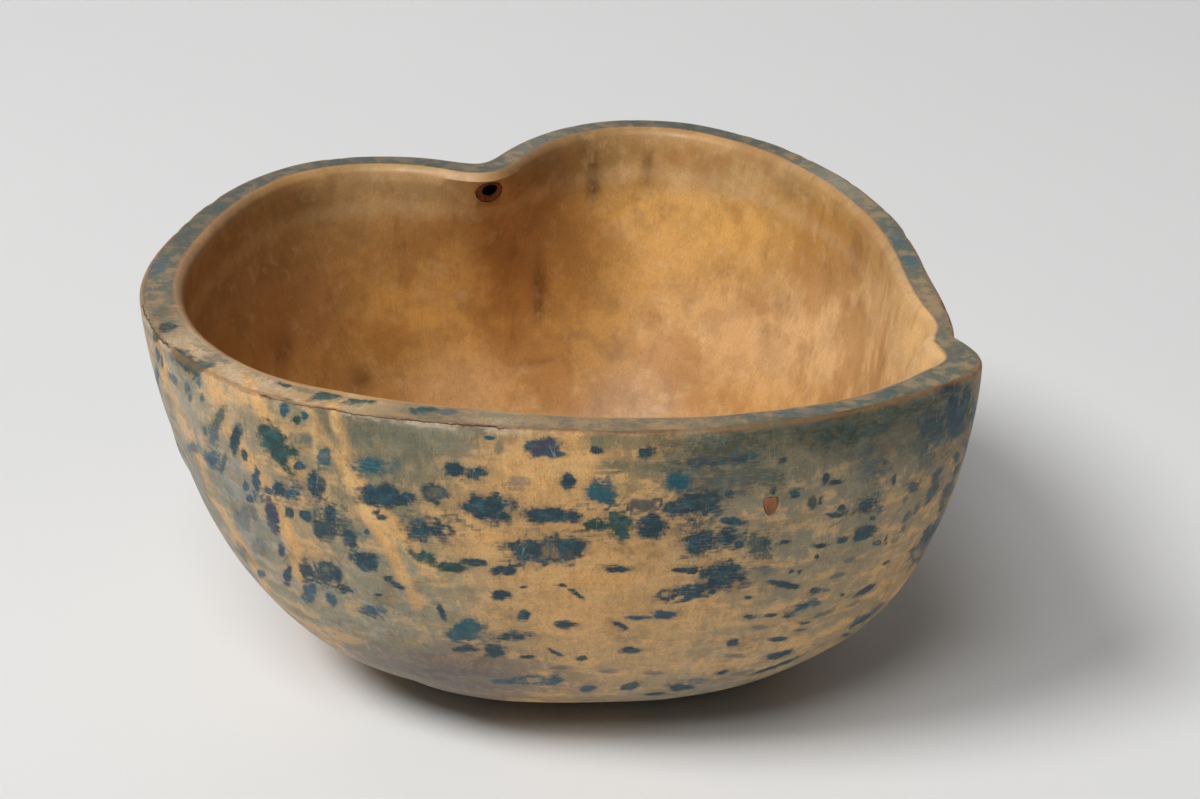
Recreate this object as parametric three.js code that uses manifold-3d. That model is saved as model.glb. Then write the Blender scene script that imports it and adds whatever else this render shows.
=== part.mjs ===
// A root bowl: a deep bowl of free outline, carved from one burl at the root of a tree.
// The burl grew in three swellings. Seen from above, the left one and the back one meet in a
// deep cleft, and the back one and the front one meet in a short nose at the right. The maker
// followed that outline, hollowed the burl to an even wall and flattened the rim.
// Two encased knots sit in the wall: a hollow one inside, by the cleft, and a small one in front.
// Lengths are in millimetres. Angles are in degrees, from +X towards +Y, seen from above.
import * as THREE from 'three';
import { mergeVertices } from 'three/addons/utils/BufferGeometryUtils.js';
import Module from 'manifold-3d';

// Driving dimensions of the bowl
const bowlHeight = 151;
const footRadius = 45;
const floorThickness = 14;
const floorRadius = 38;
const rimWidth = 9;
const rimExtra = 4;
const rimExtraAngle = 225;
const rimEdgeRadius = 2;
const rimBevelWidth = 4;
const rimBevelDepth = 3;

// The three swellings of the root: centre, half length, half width and turn of each ellipse
const leftSwellingX = -74;
const leftSwellingY = -16;
const leftSwellingHalfLength = 91;
const leftSwellingHalfWidth = 122;
const leftSwellingTurn = 12;
const backSwellingX = 43;
const backSwellingY = 8;
const backSwellingHalfLength = 143;
const backSwellingHalfWidth = 86;
const backSwellingTurn = -78.5;
const frontSwellingX = 34;
const frontSwellingY = -103;
const frontSwellingHalfLength = 100;
const frontSwellingHalfWidth = 49;
const frontSwellingTurn = 7;

// Softness of the hollows between the swellings, and how much softer they get at the foot
const leftFrontSoftness = 12;
const cleftSoftness = 10.5;
const noseSoftness = 5;
const footSoftness = 11;
const cleftAngle = 117;
const cleftFade = 85;
const cleftFadeSpread = 38;
const grazeShare = 0.03;

// The nose at the right, and the flat at the left of the rim
const noseHeight = 10;
const noseAngle = -32;
const noseSpread = 10;
const leftFlatDepth = 10;
const leftFlatAngle = 167;
const leftFlatSpread = 23.5;

// Where the wall is thicker or thinner than even: at the cleft's crest, in the notch beside the
// nose, and at the nose's tip. The notch is filled inside, below the rim.
const crestAngle = 114;
const crestSpread = 8;
const crestExtra = 3;
const ridgeExtra = 4;
const ridgeSpread = 24;
const ridgePower = 0.8;
const notchAngle = -28.5;
const notchSpread = 6;
const notchThinner = 4;
const notchFill = 11;
const notchFillSpread = 15;
const notchFillPower = 6;
const noseTipAngle = -39;
const noseTipSpread = 8;
const noseTipExtra = 4;

// Powers of the wall's curve: with a larger belly the wall is fuller, and it is fuller in front
const bellyPower = 2.67;
const roundPower = 1.48;
const roundPowerRight = -0.09;
const roundPowerBack = -0.43;
const footCrowdingPower = 1.9;

// Knots: both are flush with the wall and sit in sockets of the wood, with a fine joint around
const knotGap = 0.3;
const cleftKnotAngle = 113.5;
const cleftKnotBelowRim = 8.5;
const cleftKnotWidth = 11;
const cleftKnotLength = 9.5;
const cleftKnotDepth = 7;
const cleftPitWidth = 6.6;
const cleftPitLength = 5.4;
const cleftPitDepth = 5;
const cleftPitRise = 1;
const pinKnotAngle = -65.5;
const pinKnotBelowRim = 31.6;
const pinKnotWidth = 4.8;
const pinKnotLength = 7.2;
const pinKnotDepth = 6;

// Fineness of the surface
const angleSteps = 120;
const outsideSteps = 17;
const insideSteps = 15;
const rimRoundSteps = 3;
const rollSteps = 10;
const rollTurn = 1.3;
const rollSoftness = 0.4;
const knotSides = 20;
const plugOverhang = 4;

const woodColour = 0xb98a52;
const cleftKnotColour = 0x4a2c1a;
const pinKnotColour = 0x8a4f2a;

const leftSwelling = {
  x: leftSwellingX,
  y: leftSwellingY,
  halfLength: leftSwellingHalfLength,
  halfWidth: leftSwellingHalfWidth,
  turn: THREE.MathUtils.degToRad(leftSwellingTurn),
};
const backSwelling = {
  x: backSwellingX,
  y: backSwellingY,
  halfLength: backSwellingHalfLength,
  halfWidth: backSwellingHalfWidth,
  turn: THREE.MathUtils.degToRad(backSwellingTurn),
};
const frontSwelling = {
  x: frontSwellingX,
  y: frontSwellingY,
  halfLength: frontSwellingHalfLength,
  halfWidth: frontSwellingHalfWidth,
  turn: THREE.MathUtils.degToRad(frontSwellingTurn),
};

// Height of the inside from the floor to the bevel of the rim
const insideHeight = bowlHeight - rimBevelDepth - floorThickness;

const wasm = await Module();
wasm.setup();

// Distance from the foot's middle, along a ray, to the far side of a swelling's ellipse. Where a
// ray only grazes the ellipse the distance is softened, so that the outline has no kink.
function swellingReach(swelling, angle) {
  const alongLength = Math.cos(angle - swelling.turn) / swelling.halfLength;
  const alongWidth = Math.sin(angle - swelling.turn) / swelling.halfWidth;
  const cosTurn = Math.cos(swelling.turn);
  const sinTurn = Math.sin(swelling.turn);
  const centreLength = (swelling.x * cosTurn + swelling.y * sinTurn) / swelling.halfLength;
  const centreWidth = (swelling.y * cosTurn - swelling.x * sinTurn) / swelling.halfWidth;
  const a = alongLength ** 2 + alongWidth ** 2;
  const b = centreLength * alongLength + centreWidth * alongWidth;
  const c = centreLength ** 2 + centreWidth ** 2 - 1;
  const inside = (b * b - a * c) / a;
  const softened = (inside + Math.hypot(inside, grazeShare)) / 2;
  return (b + Math.sqrt(a * softened)) / a;
}

// The larger of two reaches, with the hollow between them filled softly
function softMax(first, second, softness) {
  const apart = Math.abs(first - second);
  return Math.max(first, second) + softness * Math.log1p(Math.exp(-apart / softness));
}

// 1 at an angle, falling away smoothly to both sides
function bell(angle, centreDegrees, spreadDegrees) {
  const centre = THREE.MathUtils.degToRad(centreDegrees);
  const turned = Math.atan2(Math.sin(angle - centre), Math.cos(angle - centre));
  return Math.exp(-((turned / THREE.MathUtils.degToRad(spreadDegrees)) ** 2));
}

// Outline of the outside before the wall's curve draws it in. rise is 0 at the foot, 1 at the rim.
// The cleft is deepest at the rim and fades towards the foot.
function outline(angle, rise) {
  const fill = footSoftness * (1 - rise);
  const fade = cleftFade * (1 - rise) * bell(angle, cleftAngle, cleftFadeSpread);
  const awayFromCleft = 0.5 - 0.5 * Math.cos(angle - THREE.MathUtils.degToRad(cleftAngle));
  const rimSoftness = THREE.MathUtils.lerp(cleftSoftness, noseSoftness, awayFromCleft);
  const backSoftness = rimSoftness + fill + fade;
  const leftAndFront = softMax(
    swellingReach(leftSwelling, angle),
    swellingReach(frontSwelling, angle),
    leftFrontSoftness + fill,
  );
  const all = softMax(leftAndFront, swellingReach(backSwelling, angle), backSoftness);
  const nose = noseHeight * bell(angle, noseAngle, noseSpread);
  return all + nose - leftFlatDepth * bell(angle, leftFlatAngle, leftFlatSpread);
}

// The outline moved in by a wall's thickness: how far a disc of that radius, rolled along the
// outline, leaves a ray free. Steps of the disc are blended, so that they leave no scallops.
function evenInside(angle, rise, thickness) {
  const reaches = [];
  for (let step = -rollSteps; step <= rollSteps; step += 1) {
    const turned = THREE.MathUtils.degToRad(step * rollTurn);
    const edge = outline(angle + turned, rise);
    const under = thickness ** 2 - (edge * Math.sin(turned)) ** 2;
    if (under > 0) {
      reaches.push(edge * Math.cos(turned) - Math.sqrt(under));
    }
  }
  const nearest = Math.min(...reaches);
  const shares = reaches.map((reach) => Math.exp((nearest - reach) / rollSoftness));
  const total = shares.reduce((sum, share) => sum + share, 0);
  return nearest - rollSoftness * Math.log(total);
}

// How far the wall has swung out from the foot's edge, 0 to 1, at a rise of 0 to 1
function wallSwing(angle, rise) {
  const power = roundPower + roundPowerRight * Math.cos(angle) + roundPowerBack * Math.sin(angle);
  return (1 - (1 - rise) ** power) ** (1 / bellyPower);
}

// The rim is wider at the front left, at the cleft and at the nose's tip, and narrow in the notch
function rimWidthAt(angle) {
  const towardsExtra = Math.max(0, Math.cos(angle - THREE.MathUtils.degToRad(rimExtraAngle)));
  const crest = crestExtra * bell(angle, crestAngle, crestSpread);
  const tip = noseTipExtra * bell(angle, noseTipAngle, noseTipSpread);
  const notch = notchThinner * bell(angle, notchAngle, notchSpread);
  return rimWidth + rimExtra * towardsExtra ** 2 + crest + tip - notch;
}

// Below the rim the wall keeps a ridge inside at the cleft, and fills the notch by the nose
function wallThicknessAt(angle, rise) {
  const ridge = ridgeExtra * bell(angle, crestAngle, ridgeSpread) * (1 - rise) ** ridgePower;
  const fill = notchFill * bell(angle, notchAngle, notchFillSpread) * (1 - rise ** notchFillPower);
  return rimWidthAt(angle) + rimBevelWidth * rise + ridge + fill;
}

function outsideRing(rise) {
  return (angle) => ({
    reach: footRadius + (outline(angle, rise) - footRadius) * wallSwing(angle, rise),
    height: bowlHeight * rise,
  });
}

function insideRing(rise) {
  return (angle) => {
    const reach = evenInside(angle, rise, wallThicknessAt(angle, rise));
    return {
      reach: floorRadius + (reach - floorRadius) * wallSwing(angle, rise),
      height: floorThickness + insideHeight * rise,
    };
  };
}

// Rounded outer edge of the rim: quarter is 0 at the wall and 1 on the flat top
function rimRoundRing(quarter) {
  const turn = (quarter * Math.PI) / 2;
  return (angle) => ({
    reach: outline(angle, 1) - rimEdgeRadius * (1 - Math.cos(turn)),
    height: bowlHeight - rimEdgeRadius * (1 - Math.sin(turn)),
  });
}

// Soft bevel from the flat rim down to the inside: part is 0 on the rim and 1 at the wall
function rimBevelRing(part) {
  return (angle) => ({
    reach: evenInside(angle, 1, rimWidthAt(angle) + rimBevelWidth * part),
    height: bowlHeight - rimBevelDepth * part ** 2,
  });
}

const footMiddle = () => ({ reach: 0, height: 0 });
const floorMiddle = () => ({ reach: 0, height: floorThickness });

// Rings from the foot's middle up the outside, over the rim, and down the inside to the floor
const topOfOutside = 1 - rimEdgeRadius / bowlHeight;
const rings = [footMiddle];
for (let i = 0; i < outsideSteps; i += 1) {
  rings.push(outsideRing(topOfOutside * (i / outsideSteps) ** footCrowdingPower));
}
for (let i = 0; i <= rimRoundSteps; i += 1) {
  rings.push(rimRoundRing(i / rimRoundSteps));
}
rings.push(rimBevelRing(0));
rings.push(rimBevelRing(0.5));
for (let i = insideSteps; i >= 0; i -= 1) {
  rings.push(insideRing((i / insideSteps) ** footCrowdingPower));
}
rings.push(floorMiddle);

// The profile at one angle is revolved, and every ring is then drawn out to the root's outline
function bowlGeometry() {
  const profile = rings.map((ring) => new THREE.Vector2(ring(0).reach, ring(0).height));
  const geometry = new THREE.LatheGeometry(profile, angleSteps);
  const position = geometry.attributes.position;
  for (let i = 0; i < position.count; i += 1) {
    const angle = (Math.floor(i / rings.length) % angleSteps) * ((2 * Math.PI) / angleSteps);
    const { reach, height } = rings[i % rings.length](angle);
    position.setXYZ(i, reach * Math.cos(angle), reach * Math.sin(angle), height);
  }
  return geometry;
}

// A closed geometry as a solid that can be joined and cut
function toSolid(geometry) {
  const bare = geometry.clone();
  bare.deleteAttribute('normal');
  bare.deleteAttribute('uv');
  const merged = mergeVertices(bare);
  const index = merged.index.array;
  const triangles = [];
  for (let i = 0; i < index.length; i += 3) {
    const [a, b, c] = [index[i], index[i + 1], index[i + 2]];
    if (a !== b && b !== c && c !== a) {
      triangles.push(a, b, c);
    }
  }
  const vertProperties = merged.attributes.position.array;
  const triVerts = Uint32Array.from(triangles);
  return new wasm.Manifold(new wasm.Mesh({ numProp: 3, vertProperties, triVerts }));
}

function toGeometry(solid) {
  const mesh = solid.getMesh();
  const geometry = new THREE.BufferGeometry();
  geometry.setAttribute('position', new THREE.BufferAttribute(mesh.vertProperties, 3));
  geometry.setIndex(new THREE.BufferAttribute(mesh.triVerts, 1));
  geometry.computeVertexNormals();
  return geometry;
}

// An outline extruded from inner depth to outer overhang, and set on the wall at an angle and
// height. Its own +Z becomes the direction out of the wall, and its own +Y stays up.
function plugThroughWall(shape, innerDepth, face, facing) {
  const geometry = new THREE.ExtrudeGeometry(shape, {
    depth: innerDepth + plugOverhang,
    bevelEnabled: false,
    curveSegments: knotSides,
  });
  geometry.translate(0, 0, -innerDepth);
  const out = new THREE.Vector3(Math.cos(facing), Math.sin(facing), 0);
  const up = new THREE.Vector3(0, 0, 1);
  const side = new THREE.Vector3().crossVectors(up, out);
  geometry.applyMatrix4(new THREE.Matrix4().makeBasis(side, up, out).setPosition(face));
  return toSolid(geometry);
}

function ovalShape(width, length, rise) {
  const shape = new THREE.Shape();
  shape.absellipse(0, rise, width / 2, length / 2, 0, 2 * Math.PI);
  return shape;
}

// Shield outline with a flat crown and a rounded point below
function shieldShape(width, length) {
  const half = width / 2;
  const top = length / 2;
  const shape = new THREE.Shape();
  shape.moveTo(0, -top);
  shape.bezierCurveTo(half * 0.6, -top, half, -top * 0.1, half, top * 0.4);
  shape.bezierCurveTo(half, top, half * 0.5, top, 0, top * 0.9);
  shape.bezierCurveTo(-half * 0.5, top, -half, top, -half, top * 0.4);
  shape.bezierCurveTo(-half, -top * 0.1, -half * 0.6, -top, 0, -top);
  return shape;
}

// Point of a ring at an angle
function wallPoint(ring, angle) {
  const { reach, height } = ring(angle);
  return new THREE.Vector3(reach * Math.cos(angle), reach * Math.sin(angle), height);
}

// The direction, seen from above, that a ring's wall faces at an angle
function wallFacing(ring, angle) {
  const step = 0.01;
  const along = wallPoint(ring, angle + step).sub(wallPoint(ring, angle - step));
  return Math.atan2(-along.x, along.y);
}

const wholeBowl = toSolid(bowlGeometry());

// Encased knot by the cleft: an oval plug with a blind pit, flush with the inside of the wall
const cleftAt = THREE.MathUtils.degToRad(cleftKnotAngle);
const insideRise = 1 - (cleftKnotBelowRim - rimBevelDepth) / insideHeight;
const cleftFace = wallPoint(insideRing(insideRise), cleftAt);
const cleftFacing = wallFacing(insideRing(insideRise), cleftAt) + Math.PI;
const cleftPlug = plugThroughWall(
  ovalShape(cleftKnotWidth, cleftKnotLength, 0),
  cleftKnotDepth,
  cleftFace,
  cleftFacing,
);
const cleftSocket = plugThroughWall(
  ovalShape(cleftKnotWidth + 2 * knotGap, cleftKnotLength + 2 * knotGap, 0),
  cleftKnotDepth + knotGap,
  cleftFace,
  cleftFacing,
);
const cleftPit = plugThroughWall(
  ovalShape(cleftPitWidth, cleftPitLength, cleftPitRise),
  cleftPitDepth,
  cleftFace,
  cleftFacing,
);
const cleftKnot = wholeBowl.intersect(cleftPlug).subtract(cleftPit);

// Small knot on the front: a shield-shaped plug, flush with the outside of the wall
const pinAt = THREE.MathUtils.degToRad(pinKnotAngle);
const pinRing = outsideRing(1 - pinKnotBelowRim / bowlHeight);
const pinFace = wallPoint(pinRing, pinAt);
const pinFacing = wallFacing(pinRing, pinAt);
const pinPlug = plugThroughWall(
  shieldShape(pinKnotWidth, pinKnotLength),
  pinKnotDepth,
  pinFace,
  pinFacing,
);
const pinSocket = plugThroughWall(
  shieldShape(pinKnotWidth + 2 * knotGap, pinKnotLength + 2 * knotGap),
  pinKnotDepth + knotGap,
  pinFace,
  pinFacing,
);
const pinKnot = wholeBowl.intersect(pinPlug);

const bowlBody = wholeBowl.subtract(cleftSocket).subtract(pinSocket);

function addPiece(group, name, solid, color, roughness) {
  const material = new THREE.MeshStandardMaterial({ color, roughness, metalness: 0 });
  const mesh = new THREE.Mesh(toGeometry(solid), material);
  mesh.name = name;
  group.add(mesh);
}

// The origin is under the middle of the whole bowl, on the surface that it stands on
const bowl = new THREE.Group();
addPiece(bowl, 'bowl_body', bowlBody, woodColour, 0.5);
addPiece(bowl, 'cleft_knot', cleftKnot, cleftKnotColour, 0.7);
addPiece(bowl, 'pin_knot', pinKnot, pinKnotColour, 0.6);
const middle = new THREE.Box3().setFromObject(bowl).getCenter(new THREE.Vector3());
bowl.position.set(-middle.x, -middle.y, 0);

export default bowl;
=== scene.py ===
# %% [markdown]
# A bowl carved from one burl at the root of a tree. The bowl itself is one piece of wood, and two
# small knots are the only other wood in it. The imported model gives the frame: its sizes and places
# are true, so every piece here is fitted to it and none of it is moved.

import math
from collections import namedtuple

import bpy
import numpy as np
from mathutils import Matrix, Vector


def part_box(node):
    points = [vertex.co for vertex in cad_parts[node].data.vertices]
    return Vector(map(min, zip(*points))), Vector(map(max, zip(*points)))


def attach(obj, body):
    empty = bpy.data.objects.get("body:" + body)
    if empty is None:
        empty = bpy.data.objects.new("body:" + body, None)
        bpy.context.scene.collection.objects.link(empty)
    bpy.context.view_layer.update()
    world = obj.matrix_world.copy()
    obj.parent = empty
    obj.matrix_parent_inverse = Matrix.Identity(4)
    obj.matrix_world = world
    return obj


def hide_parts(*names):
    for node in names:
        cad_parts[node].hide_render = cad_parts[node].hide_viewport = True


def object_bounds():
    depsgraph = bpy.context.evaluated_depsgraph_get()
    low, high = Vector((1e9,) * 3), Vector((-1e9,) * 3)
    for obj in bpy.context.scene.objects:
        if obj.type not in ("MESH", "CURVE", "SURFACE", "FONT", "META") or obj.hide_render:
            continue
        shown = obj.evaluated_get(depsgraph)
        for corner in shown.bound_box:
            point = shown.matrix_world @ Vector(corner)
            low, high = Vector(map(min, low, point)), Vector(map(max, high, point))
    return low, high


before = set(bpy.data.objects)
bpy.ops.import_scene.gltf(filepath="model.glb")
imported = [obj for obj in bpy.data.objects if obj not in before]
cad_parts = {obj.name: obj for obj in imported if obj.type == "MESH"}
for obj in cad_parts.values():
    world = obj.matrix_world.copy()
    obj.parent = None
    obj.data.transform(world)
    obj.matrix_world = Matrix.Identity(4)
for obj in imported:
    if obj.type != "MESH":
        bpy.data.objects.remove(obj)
cad_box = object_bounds()
bowl_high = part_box("bowl_body")[1]
bpy.ops.object.select_all(action="DESELECT")
print("nodes:", sorted(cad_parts), "height:", round(bowl_high.z, 4))

# %% [markdown]
# The camera stands a metre away and looks down on the bowl at 26 degrees, so that the rim shows as
# a flat loop and much of the inside can be seen. It is made first, because the paint on the wall
# is placed by what it sees. A long lens keeps the rim's near and far sides alike in size.

# %% Camera
PHOTO_WIDE = 1200
PHOTO_TALL = 799
CAMERA_DOWN = math.radians(26)
CAMERA_AWAY = 1.0
SENSOR_WIDE = 36.0
LENS = 74.56
LOOK_AT = Vector((0.0190, 0.0292, 0.075))

look = Vector((0, math.cos(CAMERA_DOWN), -math.sin(CAMERA_DOWN)))
camera_place = LOOK_AT - look * CAMERA_AWAY
bpy.ops.object.camera_add(location=camera_place, rotation=(math.pi / 2 - CAMERA_DOWN, 0, 0))
camera = bpy.context.object
camera.name = "camera"
camera.data.sensor_width = SENSOR_WIDE
camera.data.lens = LENS
bpy.context.scene.camera = camera
pixels_per_slope = LENS / SENSOR_WIDE * PHOTO_WIDE
print("camera at", [round(v, 4) for v in camera_place])

# %% [markdown]
# The bowl stands on a wide sheet of pale card, which sweeps up behind it so that no edge shows.
# The sheet is a flat plane whose far edge is extruded up and back along a quarter circle.

# %% Floor
FLOOR_HALF_WIDE = 2.2
FLOOR_FRONT = -1.6
FLOOR_BACK = 1.25
SWEEP_RADIUS = 0.9
SWEEP_STEPS = 16
SWEEP_WALL = 1.5

bpy.ops.mesh.primitive_plane_add(size=2)
floor = bpy.context.object
floor.name = "card_floor"
for corner in floor.data.vertices:
    corner.co.x *= FLOOR_HALF_WIDE
    corner.co.y = FLOOR_BACK if corner.co.y > 0 else FLOOR_FRONT
for edge in floor.data.edges:
    edge.select = all(floor.data.vertices[i].co.y > 0 for i in edge.vertices)
for corner in floor.data.vertices:
    corner.select = corner.co.y > 0
floor.data.polygons[0].select = False
bpy.ops.object.mode_set(mode="EDIT")
bpy.ops.mesh.select_mode(type="EDGE")
for step in range(SWEEP_STEPS):
    turn_before = math.pi / 2 * step / SWEEP_STEPS
    turn_after = math.pi / 2 * (step + 1) / SWEEP_STEPS
    out = SWEEP_RADIUS * (math.sin(turn_after) - math.sin(turn_before))
    up = SWEEP_RADIUS * (math.cos(turn_before) - math.cos(turn_after))
    bpy.ops.mesh.extrude_region_move(TRANSFORM_OT_translate={"value": (0, out, up)})
bpy.ops.mesh.extrude_region_move(TRANSFORM_OT_translate={"value": (0, 0, SWEEP_WALL)})
bpy.ops.object.mode_set(mode="OBJECT")
bpy.ops.object.shade_smooth()
print("card floor has", len(floor.data.polygons), "faces")

# %% [markdown]
# The light is that of a small studio: one large soft lamp high at the front left throws the soft
# shadow to the right, a weaker one in front fills the wall that faces the camera, and the room
# itself adds an even glow. The colours are shown plainly, without a film curve.

# %% Light
KEY_PLACE = Vector((-3.3, -1.9, 5.0))
KEY_SIZE = 2.2
KEY_WATTS = 278
FILL_PLACE = Vector((-0.5, -1.9, 3.1))
FILL_SIZE = 1.5
FILL_WATTS = 44
ROOM_GLOW = 0.06
ROOM_COLOUR = (0.97, 0.985, 1.0, 1.0)
LAMPS_AIM = Vector((0, 0, 0.07))


def soft_lamp(name, place, size, watts):
    aim = (LAMPS_AIM - place).to_track_quat("-Z", "Y").to_euler()
    bpy.ops.object.light_add(type="AREA", location=place, rotation=aim)
    lamp = bpy.context.object
    lamp.name = name
    lamp.data.shape = "DISK"
    lamp.data.size = size
    lamp.data.energy = watts
    return lamp


soft_lamp("key_lamp", KEY_PLACE, KEY_SIZE, KEY_WATTS)
soft_lamp("fill_lamp", FILL_PLACE, FILL_SIZE, FILL_WATTS)
room = bpy.data.worlds.new("room")
room.use_nodes = True
room.node_tree.nodes["Background"].inputs["Color"].default_value = ROOM_COLOUR
room.node_tree.nodes["Background"].inputs["Strength"].default_value = ROOM_GLOW
bpy.context.scene.world = room
bpy.context.scene.view_settings.view_transform = "Standard"

# %% [markdown]
# The burl grew in three swellings, and the maker followed them: seen from above the outline is the
# soft union of three ellipses, with a short nose at the right and a flat at the left. A free form
# like this can't be spun on an axis, so the outline is written as a distance from the foot's
# middle for each direction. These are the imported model's own driving sizes, in metres.

# %% Sizes of the bowl
BOWL_HEIGHT = bowl_high.z
FOOT_MIDDLE_X = 0.00981
FOOT_MIDDLE_Y = 0.00200
FOOT_RADIUS = 0.045
FLOOR_THICKNESS = 0.014
FLOOR_RADIUS = 0.038
RIM_WIDTH = 0.009
RIM_EXTRA = 0.004
RIM_EXTRA_ANGLE = math.radians(225)
RIM_EDGE_RADIUS = 0.002
RIM_BEVEL_WIDTH = 0.004
RIM_BEVEL_DEPTH = 0.003
CLEFT_ANGLE = math.radians(117)
NOSE_ANGLE = math.radians(-32)
NOSE_SPREAD = math.radians(10)
NOSE_HEIGHT = 0.010
SWELLING_SOFTNESS = 0.03
FRONT_SOFTNESS = 0.012
CLEFT_SOFTNESS = 0.0105
FAR_SOFTNESS = 0.005
LOW_SOFTNESS = 0.011
LEFT_FLAT_ANGLE = math.radians(167)
LEFT_FLAT_SPREAD = math.radians(23.5)
LEFT_FLAT_DEPTH = 0.010
CLEFT_FADE = 0.085
CLEFT_FADE_SPREAD = math.radians(38)
CLEFT_CREST_ANGLE = math.radians(114)
CLEFT_CREST_SPREAD = math.radians(8)
CLEFT_WIDER = 0.003
CLEFT_RIDGE = 0.004
CLEFT_RIDGE_SPREAD = math.radians(24)
CLEFT_RIDGE_POWER = 0.8
NOTCH_ANGLE = math.radians(-28.5)
NOTCH_SPREAD = math.radians(6)
NOTCH_THINNER = 0.004
NOTCH_FILL = 0.011
NOTCH_FILL_SPREAD = math.radians(15)
NOTCH_FILL_POWER = 6
NOSE_TIP_ANGLE = math.radians(-39)
NOSE_TIP_SPREAD = math.radians(8)
NOSE_WIDER = 0.004
SWING_POWER = 1.48
SWING_POWER_SIDE = 0.09
SWING_POWER_BACK = 0.43
SWING_ROUNDNESS = 2.67
ROLL_STEPS = 10
ROLL_TURN = math.radians(1.3)
ROLL_SOFTNESS = 0.0004
FAR_AWAY = 1.0
INSIDE_HEIGHT = BOWL_HEIGHT - RIM_BEVEL_DEPTH - FLOOR_THICKNESS

Swelling = namedtuple("Swelling", "x y half_length half_width turn")
left_swelling = Swelling(-0.074, -0.016, 0.091, 0.122, math.radians(12))
back_swelling = Swelling(0.043, 0.008, 0.143, 0.086, math.radians(-78.5))
front_swelling = Swelling(0.034, -0.103, 0.100, 0.049, math.radians(7))

print("the bowl is", round(BOWL_HEIGHT * 1000), "mm high")

# %% [markdown]
# The outline takes the farthest of the three ellipses in each direction, and where two of them meet
# it is rounded, more so towards the foot, so that the cleft dies away down the wall. The inside is
# that outline moved inwards by the wall's thickness: a disc of that radius rolls along the
# outline, and its inner edge draws the hollow, rounder in the cleft than the outside is.

# %% Outline of the bowl


def swelling_reach(swelling, angle):
    """How far one ellipse reaches from the foot's middle in the given direction."""
    along = np.cos(angle - swelling.turn) / swelling.half_length
    aside = np.sin(angle - swelling.turn) / swelling.half_width
    cos_turn, sin_turn = math.cos(swelling.turn), math.sin(swelling.turn)
    middle_along = (swelling.x * cos_turn + swelling.y * sin_turn) / swelling.half_length
    middle_aside = (swelling.y * cos_turn - swelling.x * sin_turn) / swelling.half_width
    a = along**2 + aside**2
    b = middle_along * along + middle_aside * aside
    c = middle_along**2 + middle_aside**2 - 1
    inside = (b * b - a * c) / a
    softened = (inside + np.hypot(inside, SWELLING_SOFTNESS)) / 2
    return (b + np.sqrt(a * softened)) / a


def soft_max(first, second, softness):
    """The larger of two numbers, with the corner between them rounded."""
    apart = np.abs(first - second)
    return np.maximum(first, second) + softness * np.log1p(np.exp(-apart / softness))


def bell(angle, centre, spread):
    """One at the centre, fading to nothing on both sides of it."""
    turned = np.arctan2(np.sin(angle - centre), np.cos(angle - centre))
    return np.exp(-((turned / spread) ** 2))


def outline(angle, rise):
    """The outside's reach in each direction, at a rise of 0 at the foot to 1 at the rim."""
    fill = LOW_SOFTNESS * (1 - rise)
    away = 0.5 - 0.5 * np.cos(angle - CLEFT_ANGLE)
    fade = CLEFT_FADE * (1 - rise) * bell(angle, CLEFT_ANGLE, CLEFT_FADE_SPREAD)
    back_softness = CLEFT_SOFTNESS + (FAR_SOFTNESS - CLEFT_SOFTNESS) * away + fill + fade
    left = swelling_reach(left_swelling, angle)
    front = swelling_reach(front_swelling, angle)
    back = swelling_reach(back_swelling, angle)
    whole = soft_max(soft_max(left, front, FRONT_SOFTNESS + fill), back, back_softness)
    nose = NOSE_HEIGHT * bell(angle, NOSE_ANGLE, NOSE_SPREAD)
    return whole + nose - LEFT_FLAT_DEPTH * bell(angle, LEFT_FLAT_ANGLE, LEFT_FLAT_SPREAD)


def even_inside(angle, rise, thickness):
    """The reach of the hollow: the inner edge of a disc that rolls along the outline."""
    reaches = []
    for step in range(-ROLL_STEPS, ROLL_STEPS + 1):
        turned = step * ROLL_TURN
        edge = outline(angle + turned, rise)
        under = thickness**2 - (edge * math.sin(turned)) ** 2
        near_side = edge * math.cos(turned) - np.sqrt(np.maximum(under, 0))
        reaches.append(np.where(under > 0, near_side, FAR_AWAY))
    nearest = np.min(reaches, axis=0)
    shares = np.exp((nearest - np.array(reaches)) / ROLL_SOFTNESS)
    return nearest - ROLL_SOFTNESS * np.log(shares.sum(axis=0))


def wall_swing(angle, rise):
    """The share of its full reach that the wall has at a rise: its curve from foot to rim."""
    power = SWING_POWER - SWING_POWER_SIDE * np.cos(angle) - SWING_POWER_BACK * np.sin(angle)
    return (1 - (1 - rise) ** power) ** (1 / SWING_ROUNDNESS)


def rim_width(angle):
    width = RIM_WIDTH + RIM_EXTRA * np.maximum(0, np.cos(angle - RIM_EXTRA_ANGLE)) ** 2
    width = width - NOTCH_THINNER * bell(angle, NOTCH_ANGLE, NOTCH_SPREAD)
    width = width + NOSE_WIDER * bell(angle, NOSE_TIP_ANGLE, NOSE_TIP_SPREAD)
    return width + CLEFT_WIDER * bell(angle, CLEFT_CREST_ANGLE, CLEFT_CREST_SPREAD)


def wall_thickness(angle, rise):
    thickness = rim_width(angle) + RIM_BEVEL_WIDTH * rise
    ridge = CLEFT_RIDGE * bell(angle, CLEFT_CREST_ANGLE, CLEFT_RIDGE_SPREAD)
    corner = NOTCH_FILL * bell(angle, NOTCH_ANGLE, NOTCH_FILL_SPREAD)
    return thickness + ridge * (1 - rise) ** CLEFT_RIDGE_POWER + corner * (1 - rise**NOTCH_FILL_POWER)


def outside_ring(angle, rise):
    reach = FOOT_RADIUS + (outline(angle, rise) - FOOT_RADIUS) * wall_swing(angle, rise)
    return reach, BOWL_HEIGHT * rise + 0 * angle


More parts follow.
